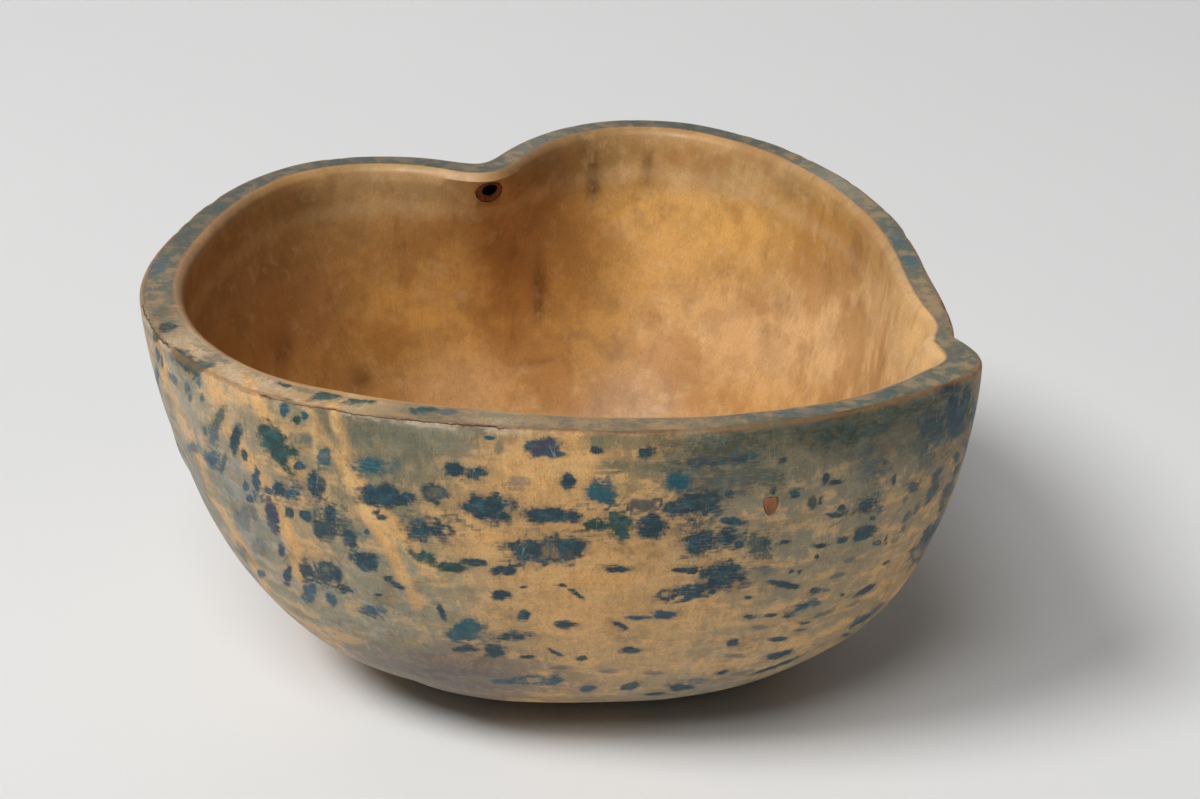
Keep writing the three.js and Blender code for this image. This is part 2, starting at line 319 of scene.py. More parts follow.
def inside_ring(angle, rise):
    reach = even_inside(angle, rise, wall_thickness(angle, rise))
    reach = FLOOR_RADIUS + (reach - FLOOR_RADIUS) * wall_swing(angle, rise)
    return reach, FLOOR_THICKNESS + INSIDE_HEIGHT * rise + 0 * angle


print("widest reach:", round(float(outline(np.linspace(0, math.tau, 720), 1.0).max()), 4))

# %% [markdown]
# The wall is one closed skin, from the foot's middle up the outside, over the rim and down to the
# middle of the floor. It could be sculpted by hand, but a flat grid that is wrapped round the
# outline keeps every ring even, which the paint needs. The grid's columns stand closer together
# in front, where the finest dabs are, and its rings are spaced evenly along the wall.

# %% Rings of the skin
COLUMNS = 500
FRONT_CROWDING = 0.38
WALL_RINGS = 118
INSIDE_RINGS = 44
FOOT_HOLLOW = 0.0008
TYPICAL_ANGLE = -math.pi / 2
LENGTH_STEPS = 2000
FOOT_PARTS = (0.0, 0.3, 0.55, 0.75, 0.9)
RIM_EDGE_STEPS = 6
RIM_PARTS = (0.2, 0.4, 0.6, 0.8, 1.0)
BEVEL_PARTS = (0.25, 0.5, 0.75)
FLOOR_PARTS = (0.85, 0.6, 0.3, 0.0)
# A ring's place from the rim: below zero outside, in centimetres under the rounded edge, from 0 to
# 1 across the flat of the rim, and above 1 on the bevel and inside, again in centimetres.
RIM_PLACE_UNIT = BOWL_HEIGHT / 0.010
EDGE_PLACE = 0.2
BEVEL_PLACE = 0.4
FOOT_PLACE = -20
FLOOR_PLACE = 20


def even_rises(ring, count, top):
    """Rises at which rings lie at even distances along the curved wall."""
    fine = np.linspace(0, top, LENGTH_STEPS) ** 2 / top
    steps = [ring(TYPICAL_ANGLE, rise) for rise in fine]
    lengths = np.hypot(np.diff([s[0] for s in steps]), np.diff([s[1] for s in steps]))
    walked = np.concatenate([[0], np.cumsum(lengths)])
    return np.interp(np.linspace(0, walked[-1], count), walked, fine)


def skin_rings(angle):
    """Every ring as its reach, its height and its place from the rim."""
    rings = []
    for part in FOOT_PARTS:
        height = FOOT_HOLLOW * (1 - part**2) + 0 * angle
        rings.append((FOOT_RADIUS * part + 0 * angle, height, FOOT_PLACE))
    top = 1 - RIM_EDGE_RADIUS / BOWL_HEIGHT
    for rise in even_rises(outside_ring, WALL_RINGS, top):
        rings.append((*outside_ring(angle, rise), -RIM_PLACE_UNIT * (1 - rise) - EDGE_PLACE))
    rim = outline(angle, 1)
    for turn in np.linspace(0, math.pi / 2, RIM_EDGE_STEPS)[1:]:
        reach = rim - RIM_EDGE_RADIUS * (1 - math.cos(turn))
        height = BOWL_HEIGHT - RIM_EDGE_RADIUS * (1 - math.sin(turn)) + 0 * angle
        rings.append((reach, height, -EDGE_PLACE * (1 - turn / (math.pi / 2))))
    rim_inner = even_inside(angle, 1, rim_width(angle))
    for part in RIM_PARTS:
        reach = (rim - RIM_EDGE_RADIUS) * (1 - part) + rim_inner * part
        rings.append((reach, BOWL_HEIGHT + 0 * angle, part))
    for part in BEVEL_PARTS:
        reach = even_inside(angle, 1, rim_width(angle) + RIM_BEVEL_WIDTH * part)
        height = BOWL_HEIGHT - RIM_BEVEL_DEPTH * part**2 + 0 * angle
        rings.append((reach, height, 1 + BEVEL_PLACE * part))
    for rise in even_rises(inside_ring, INSIDE_RINGS, 1.0)[::-1]:
        rings.append((*inside_ring(angle, rise), 1 + BEVEL_PLACE + RIM_PLACE_UNIT * (1 - rise)))
    for part in FLOOR_PARTS:
        rings.append((FLOOR_RADIUS * part + 0 * angle, FLOOR_THICKNESS + 0 * angle, FLOOR_PLACE))
    return rings


column_turn = np.linspace(-math.pi, math.pi, COLUMNS + 1)
column_angle = TYPICAL_ANGLE + column_turn - FRONT_CROWDING * np.sin(column_turn)
rings = skin_rings(column_angle)
RINGS = len(rings) - 1
print("rings:", len(rings), "columns:", COLUMNS)

# %% [markdown]
# The skin starts as a flat grid with one column for each direction and one line for each ring. Its
# points are moved to their places round the bowl, and then the seam behind and the points that
# meet at the middles of foot and floor are merged, so that the skin is closed all over.

# %% Wrap a grid round the outline
SEAM_GAP = 0.000002
bpy.ops.mesh.primitive_grid_add(x_subdivisions=COLUMNS, y_subdivisions=RINGS, size=2)
bowl_wood = bpy.context.object
bowl_wood.name = "bowl_wood"
grid = np.empty(len(bowl_wood.data.vertices) * 3)
bowl_wood.data.vertices.foreach_get("co", grid)
grid = grid.reshape(-1, 3)
column = np.rint((grid[:, 0] + 1) / 2 * COLUMNS).astype(int)
ring = np.rint((grid[:, 1] + 1) / 2 * RINGS).astype(int)
reach = np.array([r[0] for r in rings])[ring, column]
height = np.array([r[1] for r in rings])[ring, column]
grid[:, 0] = FOOT_MIDDLE_X + reach * np.cos(column_angle[column])
grid[:, 1] = FOOT_MIDDLE_Y + reach * np.sin(column_angle[column])
grid[:, 2] = height
for axis in (0, 1):
    high, low = grid[:, axis].max(), grid[:, axis].min()
    squeeze = np.where(grid[:, axis] > 0, cad_box[1][axis] / high, cad_box[0][axis] / low)
    grid[:, axis] *= np.minimum(squeeze, 1)
bowl_wood.data.vertices.foreach_set("co", grid.ravel())
rim_place = bowl_wood.data.attributes.new("rim_place", "FLOAT", "POINT")
rim_place.data.foreach_set("value", np.array([r[2] for r in rings])[ring])
bpy.ops.object.mode_set(mode="EDIT")
bpy.ops.mesh.select_all(action="SELECT")
bpy.ops.mesh.remove_doubles(threshold=SEAM_GAP)
bpy.ops.mesh.normals_make_consistent(inside=False)
bpy.ops.object.mode_set(mode="OBJECT")
print("bowl wood has", len(bowl_wood.data.polygons), "faces")

# %% [markdown]
# Marks of the tool and of the brush are placed by where they show in the photograph. A ray from the
# camera through such a point finds the place on the wood, the way that the wood faces there, and
# how large one pixel is at that distance. Near the outline a ray can just miss the bowl, so it is
# then pulled a few pixels inwards.

# %% Ray from the camera to the wood
camera_right = Vector((1, 0, 0))
camera_up = Vector((0, math.sin(CAMERA_DOWN), math.cos(CAMERA_DOWN)))
BOWL_ACROSS = 560
EDGE_PULLS = (0, 4, 8, 12, 18)


def seen_at(across, down):
    """The place, the facing and the pixel size of the wood at a point of the photograph."""
    for pull in EDGE_PULLS:
        nearer = across + math.copysign(pull, BOWL_ACROSS - across)
        slope_right = (nearer - PHOTO_WIDE / 2) / pixels_per_slope
        slope_up = (PHOTO_TALL / 2 - down) / pixels_per_slope
        ray = (look + camera_right * slope_right + camera_up * slope_up).normalized()
        found, place, facing, face = bowl_wood.ray_cast(camera_place, ray)
        if found:
            pixel = (place - camera_place).dot(look) / pixels_per_slope
            return np.array(place), np.array(facing), pixel
    raise ValueError(f"the camera sees no wood at {across}, {down}")


def read_skin(piece):
    count = len(piece.data.vertices)
    places = np.empty(count * 3)
    facings = np.empty(count * 3)
    piece.data.vertices.foreach_get("co", places)
    piece.data.vertices.foreach_get("normal", facings)
    return places.reshape(-1, 3), facings.reshape(-1, 3)


MIDDLE_ACROSS = 600
MIDDLE_DOWN = 550
one_pixel = seen_at(MIDDLE_ACROSS, MIDDLE_DOWN)[2]
print("one pixel in the middle of the front wall is", round(one_pixel * 1000, 2), "mm")

# %% [markdown]
# The outside is worked smooth with a knife and a scraper, yet the light still breaks along long
# shallow ridges where two cuts meet. Each ridge stays on the skin, and the wood on both sides of it
# is cut up to 0.8 millimetres inwards, so the bowl never grows. The scraper leaves slow waves. A
# sculpting brush could do all this by hand. Here each mark is a rule on distance, so that it can
# be moved by its numbers.

# %% Knife ridges and scraper hollows
RIDGE_CUT = 0.0008
RIDGE_REACH = 0.007
SCRAPER_CUT = 0.00035
RIDGE_SIDE = 0.2
SCRAPER_WAVES = 9
WAVE_LENGTHS = (0.022, 0.055)
WAVE_STARTS = (0, 6.28)
FOOT_KEPT = 0.003
# Ridges that show in the photograph, as points across and down
LONG_RIDGE = ((332, 412), (338, 458), (347, 477), (362, 507), (385, 530), (408, 553), (440, 575))
SHORT_RIDGE = ((309, 425), (313, 440), (316, 461), (320, 480), (328, 500))
LOW_RIDGE = ((408, 553), (440, 575), (490, 640))
LEFT_RIDGE = ((215, 402), (240, 470), (270, 520), (300, 560))
MIDDLE_RIDGE = ((640, 440), (690, 520), (700, 600), (690, 660))
RIGHT_RIDGE = ((850, 440), (830, 520), (790, 600))
# Ridges at the back, by the direction in which they start, in radians
BACK_RIDGES = (0.2, 0.75, 1.3, 2.35, 2.9, 3.4)
BACK_RISES = np.linspace(0.12, 0.93, 7)
BACK_SWAY = 0.22
BACK_DROOP = -0.3
random = np.random.default_rng(7)


def round_the_bowl(angle, rise):
    """The point of the wall's outside in a direction, at a rise."""
    reach, height = outside_ring(angle, rise)
    return np.array((FOOT_MIDDLE_X + float(reach) * math.cos(angle),
                     FOOT_MIDDLE_Y + float(reach) * math.sin(angle), float(height)))


def away_from(path, places, facings):
    """How far each point of the skin is from a path on the same side of the bowl."""
    away = np.full(len(places), FAR_AWAY)
    for (start, facing, _), (end, _, _) in zip(path[:-1], path[1:]):
        along = end - start
        part = np.clip((places - start) @ along / (along @ along), 0, 1)
        gap = np.linalg.norm(places - start - part[:, None] * along, axis=1)
        away = np.where(facings @ facing > RIDGE_SIDE, np.minimum(away, gap), away)
    return away


ridges = []
for seen_path in (LONG_RIDGE, SHORT_RIDGE, LOW_RIDGE, LEFT_RIDGE, MIDDLE_RIDGE, RIGHT_RIDGE):
    ridges.append([seen_at(across, down) for across, down in seen_path])
for start_angle in BACK_RIDGES:
    path = []
    for rise in BACK_RISES:
        angle = start_angle + BACK_SWAY * math.sin(4 * rise + start_angle * 5)
        facing = np.array((math.cos(angle), math.sin(angle), BACK_DROOP))
        path.append((round_the_bowl(angle, rise), facing, 0))
    ridges.append(path)

places, facings = read_skin(bowl_wood)
cut = np.zeros(len(places))
for path in ridges:
    away = away_from(path, places, facings)
    groove = away / RIDGE_REACH * np.exp(1 - away / RIDGE_REACH)
    cut = np.maximum(cut, RIDGE_CUT * groove)
swell = np.zeros(len(places))
for _ in range(SCRAPER_WAVES):
    direction = random.normal(size=3)
    direction *= 2 * math.pi / random.uniform(*WAVE_LENGTHS) / np.linalg.norm(direction)
    swell += np.sin(places @ direction + random.uniform(*WAVE_STARTS)) / SCRAPER_WAVES
cut += SCRAPER_CUT * (0.5 + np.clip(swell, -0.5, 0.5))
cut[places[:, 2] < FOOT_KEPT] = 0
places -= facings * cut[:, None]
print("ridges:", len(ridges), "deepest cut in mm:", round(float(cut.max()) * 1000, 2))

# %% [markdown]
# Knocks have left shallow nicks along the rim, and a chip of wood is gone from the front of the
# foot. Each is a round hollow with soft edges: the points near its middle move into the wood.

# %% Nicks along the rim and a chip at the foot
NICKS = 30
NICK_CUT = 0.00035
NICK_SIZES = (0.002, 0.0055)
NICK_DEPTHS = (0.3, 1.0)
CHIP_ACROSS = 566
CHIP_DOWN = 692
CHIP_REACH = 0.0045
CHIP_CUT = 0.0014

for _ in range(NICKS):
    angle = random.uniform(-math.pi, math.pi)
    corner = round_the_bowl(angle, 1.0)
    size = random.uniform(*NICK_SIZES)
    away = np.linalg.norm(places - corner, axis=1) / size
    deep = NICK_CUT * random.uniform(*NICK_DEPTHS) * np.clip(1 - away**2, 0, 1) ** 2
    inwards = np.array((-math.cos(angle), -math.sin(angle), -1.0))
    places += deep[:, None] * inwards
foot_chip, chip_facing, _ = seen_at(CHIP_ACROSS, CHIP_DOWN)
away = np.linalg.norm(places - foot_chip, axis=1) / CHIP_REACH
places -= CHIP_CUT * (np.clip(1 - away**2, 0, 1) ** 2)[:, None] * chip_facing
bowl_wood.data.vertices.foreach_set("co", places.ravel())
bowl_wood.data.update()
print("nicks:", NICKS, "chip at", np.round(foot_chip, 4))

# %% [markdown]
# Two knots are the only wood that is not part of the burl's own grain. Each sits in a socket,
# which is cut with a Boolean modifier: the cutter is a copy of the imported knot, merged and then
# fattened by the width of the dark joint round it. The convex hull makes the cutter a plug without
# hollows, so that the whole knot fits in.

# %% Sockets for the knots
JOINT_WIDTH = 0.00025
KNOT_MERGE = 0.00001
SHARP_EDGE = math.radians(40)


def take_up(piece):
    bpy.ops.object.select_all(action="DESELECT")
    piece.select_set(True)
    bpy.context.view_layer.objects.active = piece


def copy_of_node(node, name):
    piece = bpy.data.objects.new(name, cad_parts[node].data.copy())
    bpy.context.scene.collection.objects.link(piece)
    piece.data.materials.clear()
    take_up(piece)
    if piece.data.has_custom_normals:
        bpy.ops.mesh.customdata_custom_splitnormals_clear()
    bpy.ops.object.mode_set(mode="EDIT")
    bpy.ops.mesh.select_all(action="SELECT")
    bpy.ops.mesh.remove_doubles(threshold=KNOT_MERGE)
    bpy.ops.object.mode_set(mode="OBJECT")
    return piece


def cut_socket(node):
    cutter = copy_of_node(node, "socket_cutter")
    bpy.ops.object.mode_set(mode="EDIT")
    bpy.ops.mesh.select_all(action="SELECT")
    bpy.ops.mesh.convex_hull()
    bpy.ops.mesh.select_all(action="SELECT")
    bpy.ops.transform.shrink_fatten(value=JOINT_WIDTH)
    bpy.ops.object.mode_set(mode="OBJECT")
    take_up(bowl_wood)
    boolean = bowl_wood.modifiers.new("socket", "BOOLEAN")
    boolean.operation = "DIFFERENCE"
    boolean.solver = "MANIFOLD"
    boolean.object = cutter
    bpy.ops.object.modifier_apply(modifier=boolean.name)
    bpy.data.objects.remove(cutter)


before = len(bowl_wood.data.vertices)
cut_socket("cleft_knot")
cut_socket("pin_knot")
take_up(bowl_wood)
bpy.ops.object.shade_smooth_by_angle(angle=SHARP_EDGE)
print("sockets added", len(bowl_wood.data.vertices) - before, "points")

# %% [markdown]
# A knot's own wood is cracked and crumbly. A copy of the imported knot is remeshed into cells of
# about a fifth of a millimetre, smoothed so that its edges look worn, and roughened by a Displace
# modifier with a clouds texture. A sculptor could do the same with a few strokes of a rough brush.

# %% Knots
KNOT_CELL = 0.00022
WORN_SHARE = 0.5
WORN_ROUNDS = 6
CRUMBLE_DEPTH = 3
CRUMBLE_MIDDLE = 0.6


def knot(node, name, roughness, grain):
    """A worn and crumbly copy of a packed knot."""
    piece = copy_of_node(node, name)
    remesh = piece.modifiers.new("cells", "REMESH")
    remesh.mode = "VOXEL"
    remesh.voxel_size = KNOT_CELL
    bpy.ops.object.modifier_apply(modifier=remesh.name)
    smooth = piece.modifiers.new("worn", "SMOOTH")
    smooth.factor = WORN_SHARE
    smooth.iterations = WORN_ROUNDS
    bpy.ops.object.modifier_apply(modifier=smooth.name)
    crumble = bpy.data.textures.new(name + "_crumble", "CLOUDS")
    crumble.noise_scale = grain
    crumble.noise_depth = CRUMBLE_DEPTH
    displace = piece.modifiers.new("crumble", "DISPLACE")
    displace.texture = crumble
    displace.texture_coords = "LOCAL"
    displace.strength = roughness
    displace.mid_level = CRUMBLE_MIDDLE
    bpy.ops.object.modifier_apply(modifier=displace.name)
    bpy.ops.object.shade_smooth()
    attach(piece, "root")
    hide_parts(node)
    print(name, "has", len(piece.data.polygons), "faces")
    return piece


hollow_knot = knot("cleft_knot", "hollow_knot", roughness=0.0007, grain=0.0016)
shield_knot = knot("pin_knot", "shield_knot", roughness=0.0002, grain=0.0012)

# %% [markdown]
# Paint and wood are mixed from a small chart of colours. The values are those that a screen shows,
# from 0 to 255. They were set by holding spots of a render against the same spots of the
# photograph. A helper turns them into the light that a surface throws back, as a shader needs it.

# %% Colours of the paint and the wood


def chart(red, green, blue):
    """A colour as a screen shows it, turned into the light that a surface throws back."""
    shares = []
    for value in (red, green, blue):
        share = value / 255
        shares.append(share / 12.92 if share <= 0.04045 else ((share + 0.055) / 1.055) ** 2.4)
    return tuple(shares)


NAVY = chart(28, 58, 70)
TEAL = chart(26, 84, 98)
GREEN = chart(30, 66, 60)
BLUE = chart(42, 74, 96)
PURPLE = chart(60, 64, 84)
OLIVE = chart(48, 52, 36)
BARE_OCHRE = chart(216, 164, 100)
BRIGHT_OCHRE = chart(232, 176, 106)
PALE_VEIL = chart(152, 152, 142)
OLIVE_GLAZE = chart(108, 108, 88)
WORN_OLIVE = chart(138, 134, 116)
PALE_OLIVE = chart(160, 154, 132)
PURPLE_GREY = chart(106, 94, 92)
TAN_GREY = chart(162, 148, 116)
TAN = chart(194, 162, 119)
DARK_SMEAR = chart(84, 80, 56)
DARK_TEAL = chart(74, 84, 78)
RIM_TEAL = chart(82, 92, 80)
RIM_BROWN = chart(126, 110, 84)
RIM_PINK = chart(200, 170, 134)
RIM_DARK = chart(58, 70, 64)
INSIDE_GOLD = chart(206, 157, 92)
INSIDE_BROWN = chart(166, 124, 80)
INSIDE_OLIVE = chart(180, 142, 88)
INSIDE_GREY = chart(194, 160, 110)
INSIDE_ORANGE = chart(236, 182, 100)
INSIDE_PINK = chart(228, 184, 134)
INSIDE_PAINTED_HIGHLIGHT = chart(246, 204, 148)
BARK_STAIN_AND_SHADE = chart(138, 94, 58)
DARK_STREAK = chart(92, 62, 40)
OLD_STAIN = chart(140, 112, 70)
SMEAR = chart(54, 62, 44)
HAZE = chart(58, 72, 70)
FAINT_OLIVE = chart(96, 100, 68)
print("navy throws back", [round(v, 3) for v in NAVY])

# %% [markdown]
# A brush or a wad of cloth left hundreds of dabs of thin blue and green on the outside. They have no
# regular pattern, so no noise texture can place them: each dab is laid on the skin as a little frame
# of its own, whose across and up run from -1 to 1 over the dab. Every point of the skin keeps its
# place in the frame of the nearest dab as an attribute, and the material draws the dab's ragged
# edge from it. Two layers hold neighbours apart, so that they can overlap.

# %% Two layers of dabs
places, facings = read_skin(bowl_wood)
OUT_OF_REACH = 9.0
DAB_SPREAD = 1.14
NEIGHBOUR_MARGIN = 0.004
DAB_REACH = 3
SAME_SIDE = 0.25


class DabLayer:
    """For every point of the skin, the nearest dab of one layer and the point's place in it."""

    def __init__(self):
        self.far = np.full(len(places), OUT_OF_REACH)
        self.place = np.full((len(places), 3), OUT_OF_REACH)
        self.kind = np.zeros((len(places), 3))
        self.colour = np.ones((len(places), 4))
        self.middles = []

    def room_at(self, middle):
        return min((np.linalg.norm(middle - other) for other in self.middles), default=1.0)


layers = [DabLayer(), DabLayer()]


def lay_dab(middle, facing, right, up, half_wide, half_tall, turn, tone, kind):
    """Lay one dab on the layer that has more room, flat on the skin at its middle."""
    layer = max(layers, key=lambda each: each.room_at(middle))
    layer.middles.append(middle)
    right = right - right @ facing * facing
    up = up - up @ facing * facing
    offset = places - middle
    limit = DAB_REACH * max(half_wide / np.linalg.norm(right), half_tall / np.linalg.norm(up))
    near = np.abs(offset).max(axis=1) < limit + NEIGHBOUR_MARGIN
    near &= facings @ facing > SAME_SIDE
    cos_turn, sin_turn = math.cos(turn), math.sin(turn)
    across = offset @ (right * cos_turn - up * sin_turn) / half_wide
    updown = offset @ (right * sin_turn + up * cos_turn) / half_tall
    far = np.hypot(across, updown)
    nearer = near & (far < layer.far)
    layer.far[nearer] = far[nearer]
    layer.place[nearer] = np.stack([across, updown, far], axis=1)[nearer]
    layer.kind[nearer] = kind
    layer.colour[nearer, :3] = tone


def dab(across, down, wide, tall, tone, turn=0, strength=1.0, ragged=0.25, hollow=0.0):
    """Lay a dab where the photograph shows it, with its sizes in pixels and its turn in degrees."""
    middle, facing, pixel = seen_at(across, down)
    half = DAB_SPREAD / 2 * pixel
    lay_dab(middle, facing, np.array(camera_right), np.array(camera_up), wide * half, tall * half,
            math.radians(turn), tone, (strength, ragged, hollow))


def count_dabs():
    """Print how many dabs each layer holds so far."""
    print("dabs so far:", [len(layer.middles) for layer in layers])


print("layers:", len(layers), "for", len(places), "points")

# %% [markdown]
# A call of dab() lays one dab where it shows in the photograph, as read off from it: how far across
# and down, how wide and tall, how far it leans, and its colour. Thin paint has less strength, a dry
# brush leaves a ragged dab, and one that dried as a ring is hollow. Their scatter is what makes
# the painting look like the work of a hand, so no rule replaces it on the side that is seen.

# %% Dabs at the left end and across the front
dab(across=155, down=337, wide=9, tall=11, tone=OLIVE)
dab(across=167, down=327, wide=16, tall=11, tone=OLIVE)
dab(across=184, down=361, wide=34, tall=16, turn=30, tone=OLIVE)
dab(across=198, down=368, wide=16, tall=14, tone=GREEN)
dab(across=157, down=354, wide=5, tall=12, tone=BLUE)
dab(across=162, down=361, wide=3, tall=12, tone=BLUE)
dab(across=157, down=375, wide=8, tall=20, turn=20, tone=BLUE)
dab(across=173, down=379, wide=16, tall=8, turn=40, tone=BLUE, strength=0.8, ragged=0.5)
dab(across=187, down=387, wide=6, tall=11, tone=TEAL, strength=0.8, ragged=0.5)
dab(across=190, down=397, wide=4, tall=8, tone=TEAL, strength=0.8, ragged=0.5)
dab(across=198, down=382, wide=9, tall=12, tone=TEAL, strength=0.8, ragged=0.5)
dab(across=202, down=399, wide=6, tall=10, tone=TEAL, strength=0.8, ragged=0.5)
dab(across=219, down=418, wide=10, tall=22, turn=20, tone=GREEN, strength=0.8, ragged=0.5)
dab(across=214, down=432, wide=11, tall=24, turn=20, tone=TEAL, strength=0.8, ragged=0.5)
dab(across=236, down=438, wide=12, tall=30, turn=10, tone=NAVY)
dab(across=192, down=448, wide=17, tall=10, tone=BLUE, strength=0.8, ragged=0.5)
dab(across=205, down=431, wide=5, tall=10, tone=TEAL, strength=0.8, ragged=0.5)
dab(across=213, down=459, wide=18, tall=18, tone=BLUE, ragged=0.8)
dab(across=224, down=461, wide=5, tall=26, turn=25, tone=BLUE, strength=0.8, ragged=0.5)
dab(across=244, down=454, wide=7, tall=11, tone=NAVY)
dab(across=301, down=466, wide=10, tall=8, tone=BLUE)
dab(across=305, down=416, wide=7, tall=9, tone=TEAL)
dab(across=306, down=438, wide=11, tall=11, tone=BLUE, strength=0.45)
dab(across=246, down=486, wide=7, tall=9, tone=BLUE)
dab(across=279, down=488, wide=11, tall=14, tone=NAVY)
dab(across=251, down=499, wide=9, tall=9, tone=BLUE)
dab(across=242, down=520, wide=16, tall=27, turn=20, tone=BLUE, strength=0.45)
dab(across=258, down=547, wide=19, tall=17, tone=PURPLE, strength=0.45)
dab(across=255, down=513, wide=7, tall=14, tone=PURPLE, strength=0.45)
dab(across=289, down=513, wide=9, tall=9, tone=NAVY)
dab(across=306, down=516, wide=14, tall=11, tone=NAVY)
dab(across=319, down=527, wide=16, tall=20, tone=NAVY)
dab(across=330, down=513, wide=18, tall=21, tone=NAVY, ragged=0.8)
dab(across=244, down=556, wide=9, tall=16, tone=PURPLE, strength=0.45)
dab(across=261, down=574, wide=9, tall=12, tone=BLUE)
dab(across=288, down=575, wide=9, tall=20, turn=20, tone=NAVY)
dab(across=306, down=570, wide=14, tall=21, tone=NAVY)
dab(across=322, down=577, wide=16, tall=14, tone=NAVY, ragged=0.4)
dab(across=263, down=429, wide=12, tall=8, tone=GREEN)
dab(across=276, down=446, wide=54, tall=25, turn=49, tone=GREEN)
dab(across=297, down=420, wide=8, tall=8, tone=GREEN)
dab(across=284, down=409, wide=9, tall=20, tone=TEAL)
dab(across=315, down=484, wide=18, tall=23, tone=NAVY)
dab(across=272, down=518, wide=16, tall=32, tone=PURPLE)
dab(across=257, down=481, wide=9, tall=26, tone=BLUE)
dab(across=290, down=493, wide=24, tall=16, tone=BLUE, ragged=0.8)
dab(across=268, down=491, wide=9, tall=8, tone=BLUE)
dab(across=332, down=521, wide=30, tall=35, tone=NAVY, ragged=0.8)
dab(across=348, down=535, wide=15, tall=18, tone=NAVY, ragged=0.8)
dab(across=326, down=457, wide=15, tall=14, tone=TEAL, hollow=0.3)
dab(across=369, down=467, wide=40, tall=16, tone=TEAL, ragged=0.8)
dab(across=384, down=496, wide=52, tall=20, tone=NAVY)
dab(across=434, down=494, wide=21, tall=19, tone=NAVY, hollow=0.25)
dab(across=431, down=530, wide=54, tall=22, tone=NAVY, ragged=0.8)
dab(across=454, down=470, wide=20, tall=14, tone=NAVY)
dab(across=476, down=473, wide=25, tall=16, tone=NAVY)
dab(across=382, down=517, wide=10, tall=6, tone=NAVY)
dab(across=376, down=513, wide=4, tall=3, tone=NAVY)
dab(across=367, down=532, wide=6, tall=6, tone=BLUE)
dab(across=282, down=550, wide=7, tall=14, tone=BLUE)
dab(across=489, down=438, wide=10, tall=4, tone=TEAL)
dab(across=498, down=447, wide=11, tall=12, tone=TEAL, strength=0.45)
dab(across=543, down=448, wide=36, tall=17, tone=PURPLE)
dab(across=548, down=454, wide=30, tall=7, tone=TEAL)
dab(across=596, down=451, wide=12, tall=8, tone=NAVY)
dab(across=644, down=451, wide=15, tall=10, turn=20, tone=NAVY)
dab(across=520, down=481, wide=18, tall=10, tone=BLUE, strength=0.45)
dab(across=567, down=481, wide=15, tall=15, tone=NAVY)
dab(across=602, down=492, wide=30, tall=24, tone=TEAL)
dab(across=679, down=482, wide=24, tall=16, tone=TEAL)
dab(across=486, down=507, wide=50, tall=30, tone=NAVY)
dab(across=550, down=516, wide=53, tall=18, tone=NAVY)
dab(across=618, down=569, wide=28, tall=6, tone=NAVY)
dab(across=730, down=493, wide=5, tall=6, tone=GREEN)
dab(across=773, down=491, wide=6, tall=7, tone=NAVY)
dab(across=812, down=503, wide=9, tall=15, tone=NAVY, strength=0.85, ragged=0.5)
dab(across=821, down=501, wide=3, tall=9, tone=NAVY)
dab(across=738, down=546, wide=9, tall=8, tone=NAVY)
dab(across=730, down=561, wide=5, tall=3, tone=NAVY)
count_dabs()

# %% Dabs low on the wall, left of the middle
dab(across=309, down=592, wide=14, tall=22, turn=30, tone=BLUE)
dab(across=329, down=572, wide=22, tall=22, tone=NAVY, hollow=0.4)
dab(across=337, down=576, wide=12, tall=18, tone=NAVY)
dab(across=366, down=561, wide=30, tall=17, tone=NAVY)
dab(across=352, down=544, wide=8, tall=8, tone=NAVY)
dab(across=331, down=599, wide=10, tall=16, tone=BLUE, ragged=0.4)
dab(across=371, down=611, wide=25, tall=15, tone=BLUE, ragged=0.8)
dab(across=378, down=595, wide=8, tall=3, tone=NAVY, ragged=0.4)
dab(across=389, down=578, wide=10, tall=6, tone=NAVY, ragged=0.4)
dab(across=398, down=585, wide=18, tall=5, turn=30, tone=NAVY, ragged=0.4)
dab(across=422, down=557, wide=26, tall=14, turn=25, tone=GREEN)
dab(across=449, down=567, wide=30, tall=11, tone=GREEN)
dab(across=473, down=562, wide=23, tall=8, tone=NAVY)
dab(across=503, down=570, wide=26, tall=10, tone=NAVY)
dab(across=501, down=596, wide=19, tall=10, tone=NAVY)
dab(across=524, down=587, wide=8, tall=3, tone=NAVY, ragged=0.4)
dab(across=524, down=616, wide=12, tall=11, tone=NAVY, ragged=0.4)
dab(across=547, down=551, wide=68, tall=26, tone=NAVY, hollow=0.45)
dab(across=528, down=550, wide=26, tall=22, tone=NAVY)
dab(across=574, down=547, wide=30, tall=16, tone=NAVY, ragged=0.5)
dab(across=562, down=585, wide=10, tall=4, tone=NAVY, ragged=0.4)
dab(across=577, down=594, wide=16, tall=4, turn=35, tone=NAVY, ragged=0.4)
dab(across=441, down=612, wide=6, tall=18, turn=-20, tone=NAVY, ragged=0.4)
dab(across=468, down=630, wide=30, tall=23, tone=TEAL)
dab(across=464, down=649, wide=20, tall=8, tone=NAVY, ragged=0.4)
dab(across=493, down=651, wide=22, tall=15, tone=NAVY)
dab(across=510, down=636, wide=38, tall=10, tone=NAVY, ragged=0.8)
dab(across=455, down=636, wide=18, tall=9, tone=TEAL, ragged=0.4)
dab(across=527, down=657, wide=14, tall=4, tone=NAVY, ragged=0.4)
dab(across=556, down=653, wide=16, tall=4, turn=30, tone=NAVY, ragged=0.4)
dab(across=535, down=681, wide=44, tall=12, tone=BLUE, hollow=0.8)
dab(across=503, down=682, wide=26, tall=6, tone=BLUE, ragged=0.4)
dab(across=554, down=680, wide=10, tall=12, tone=BLUE, ragged=0.4)
count_dabs()

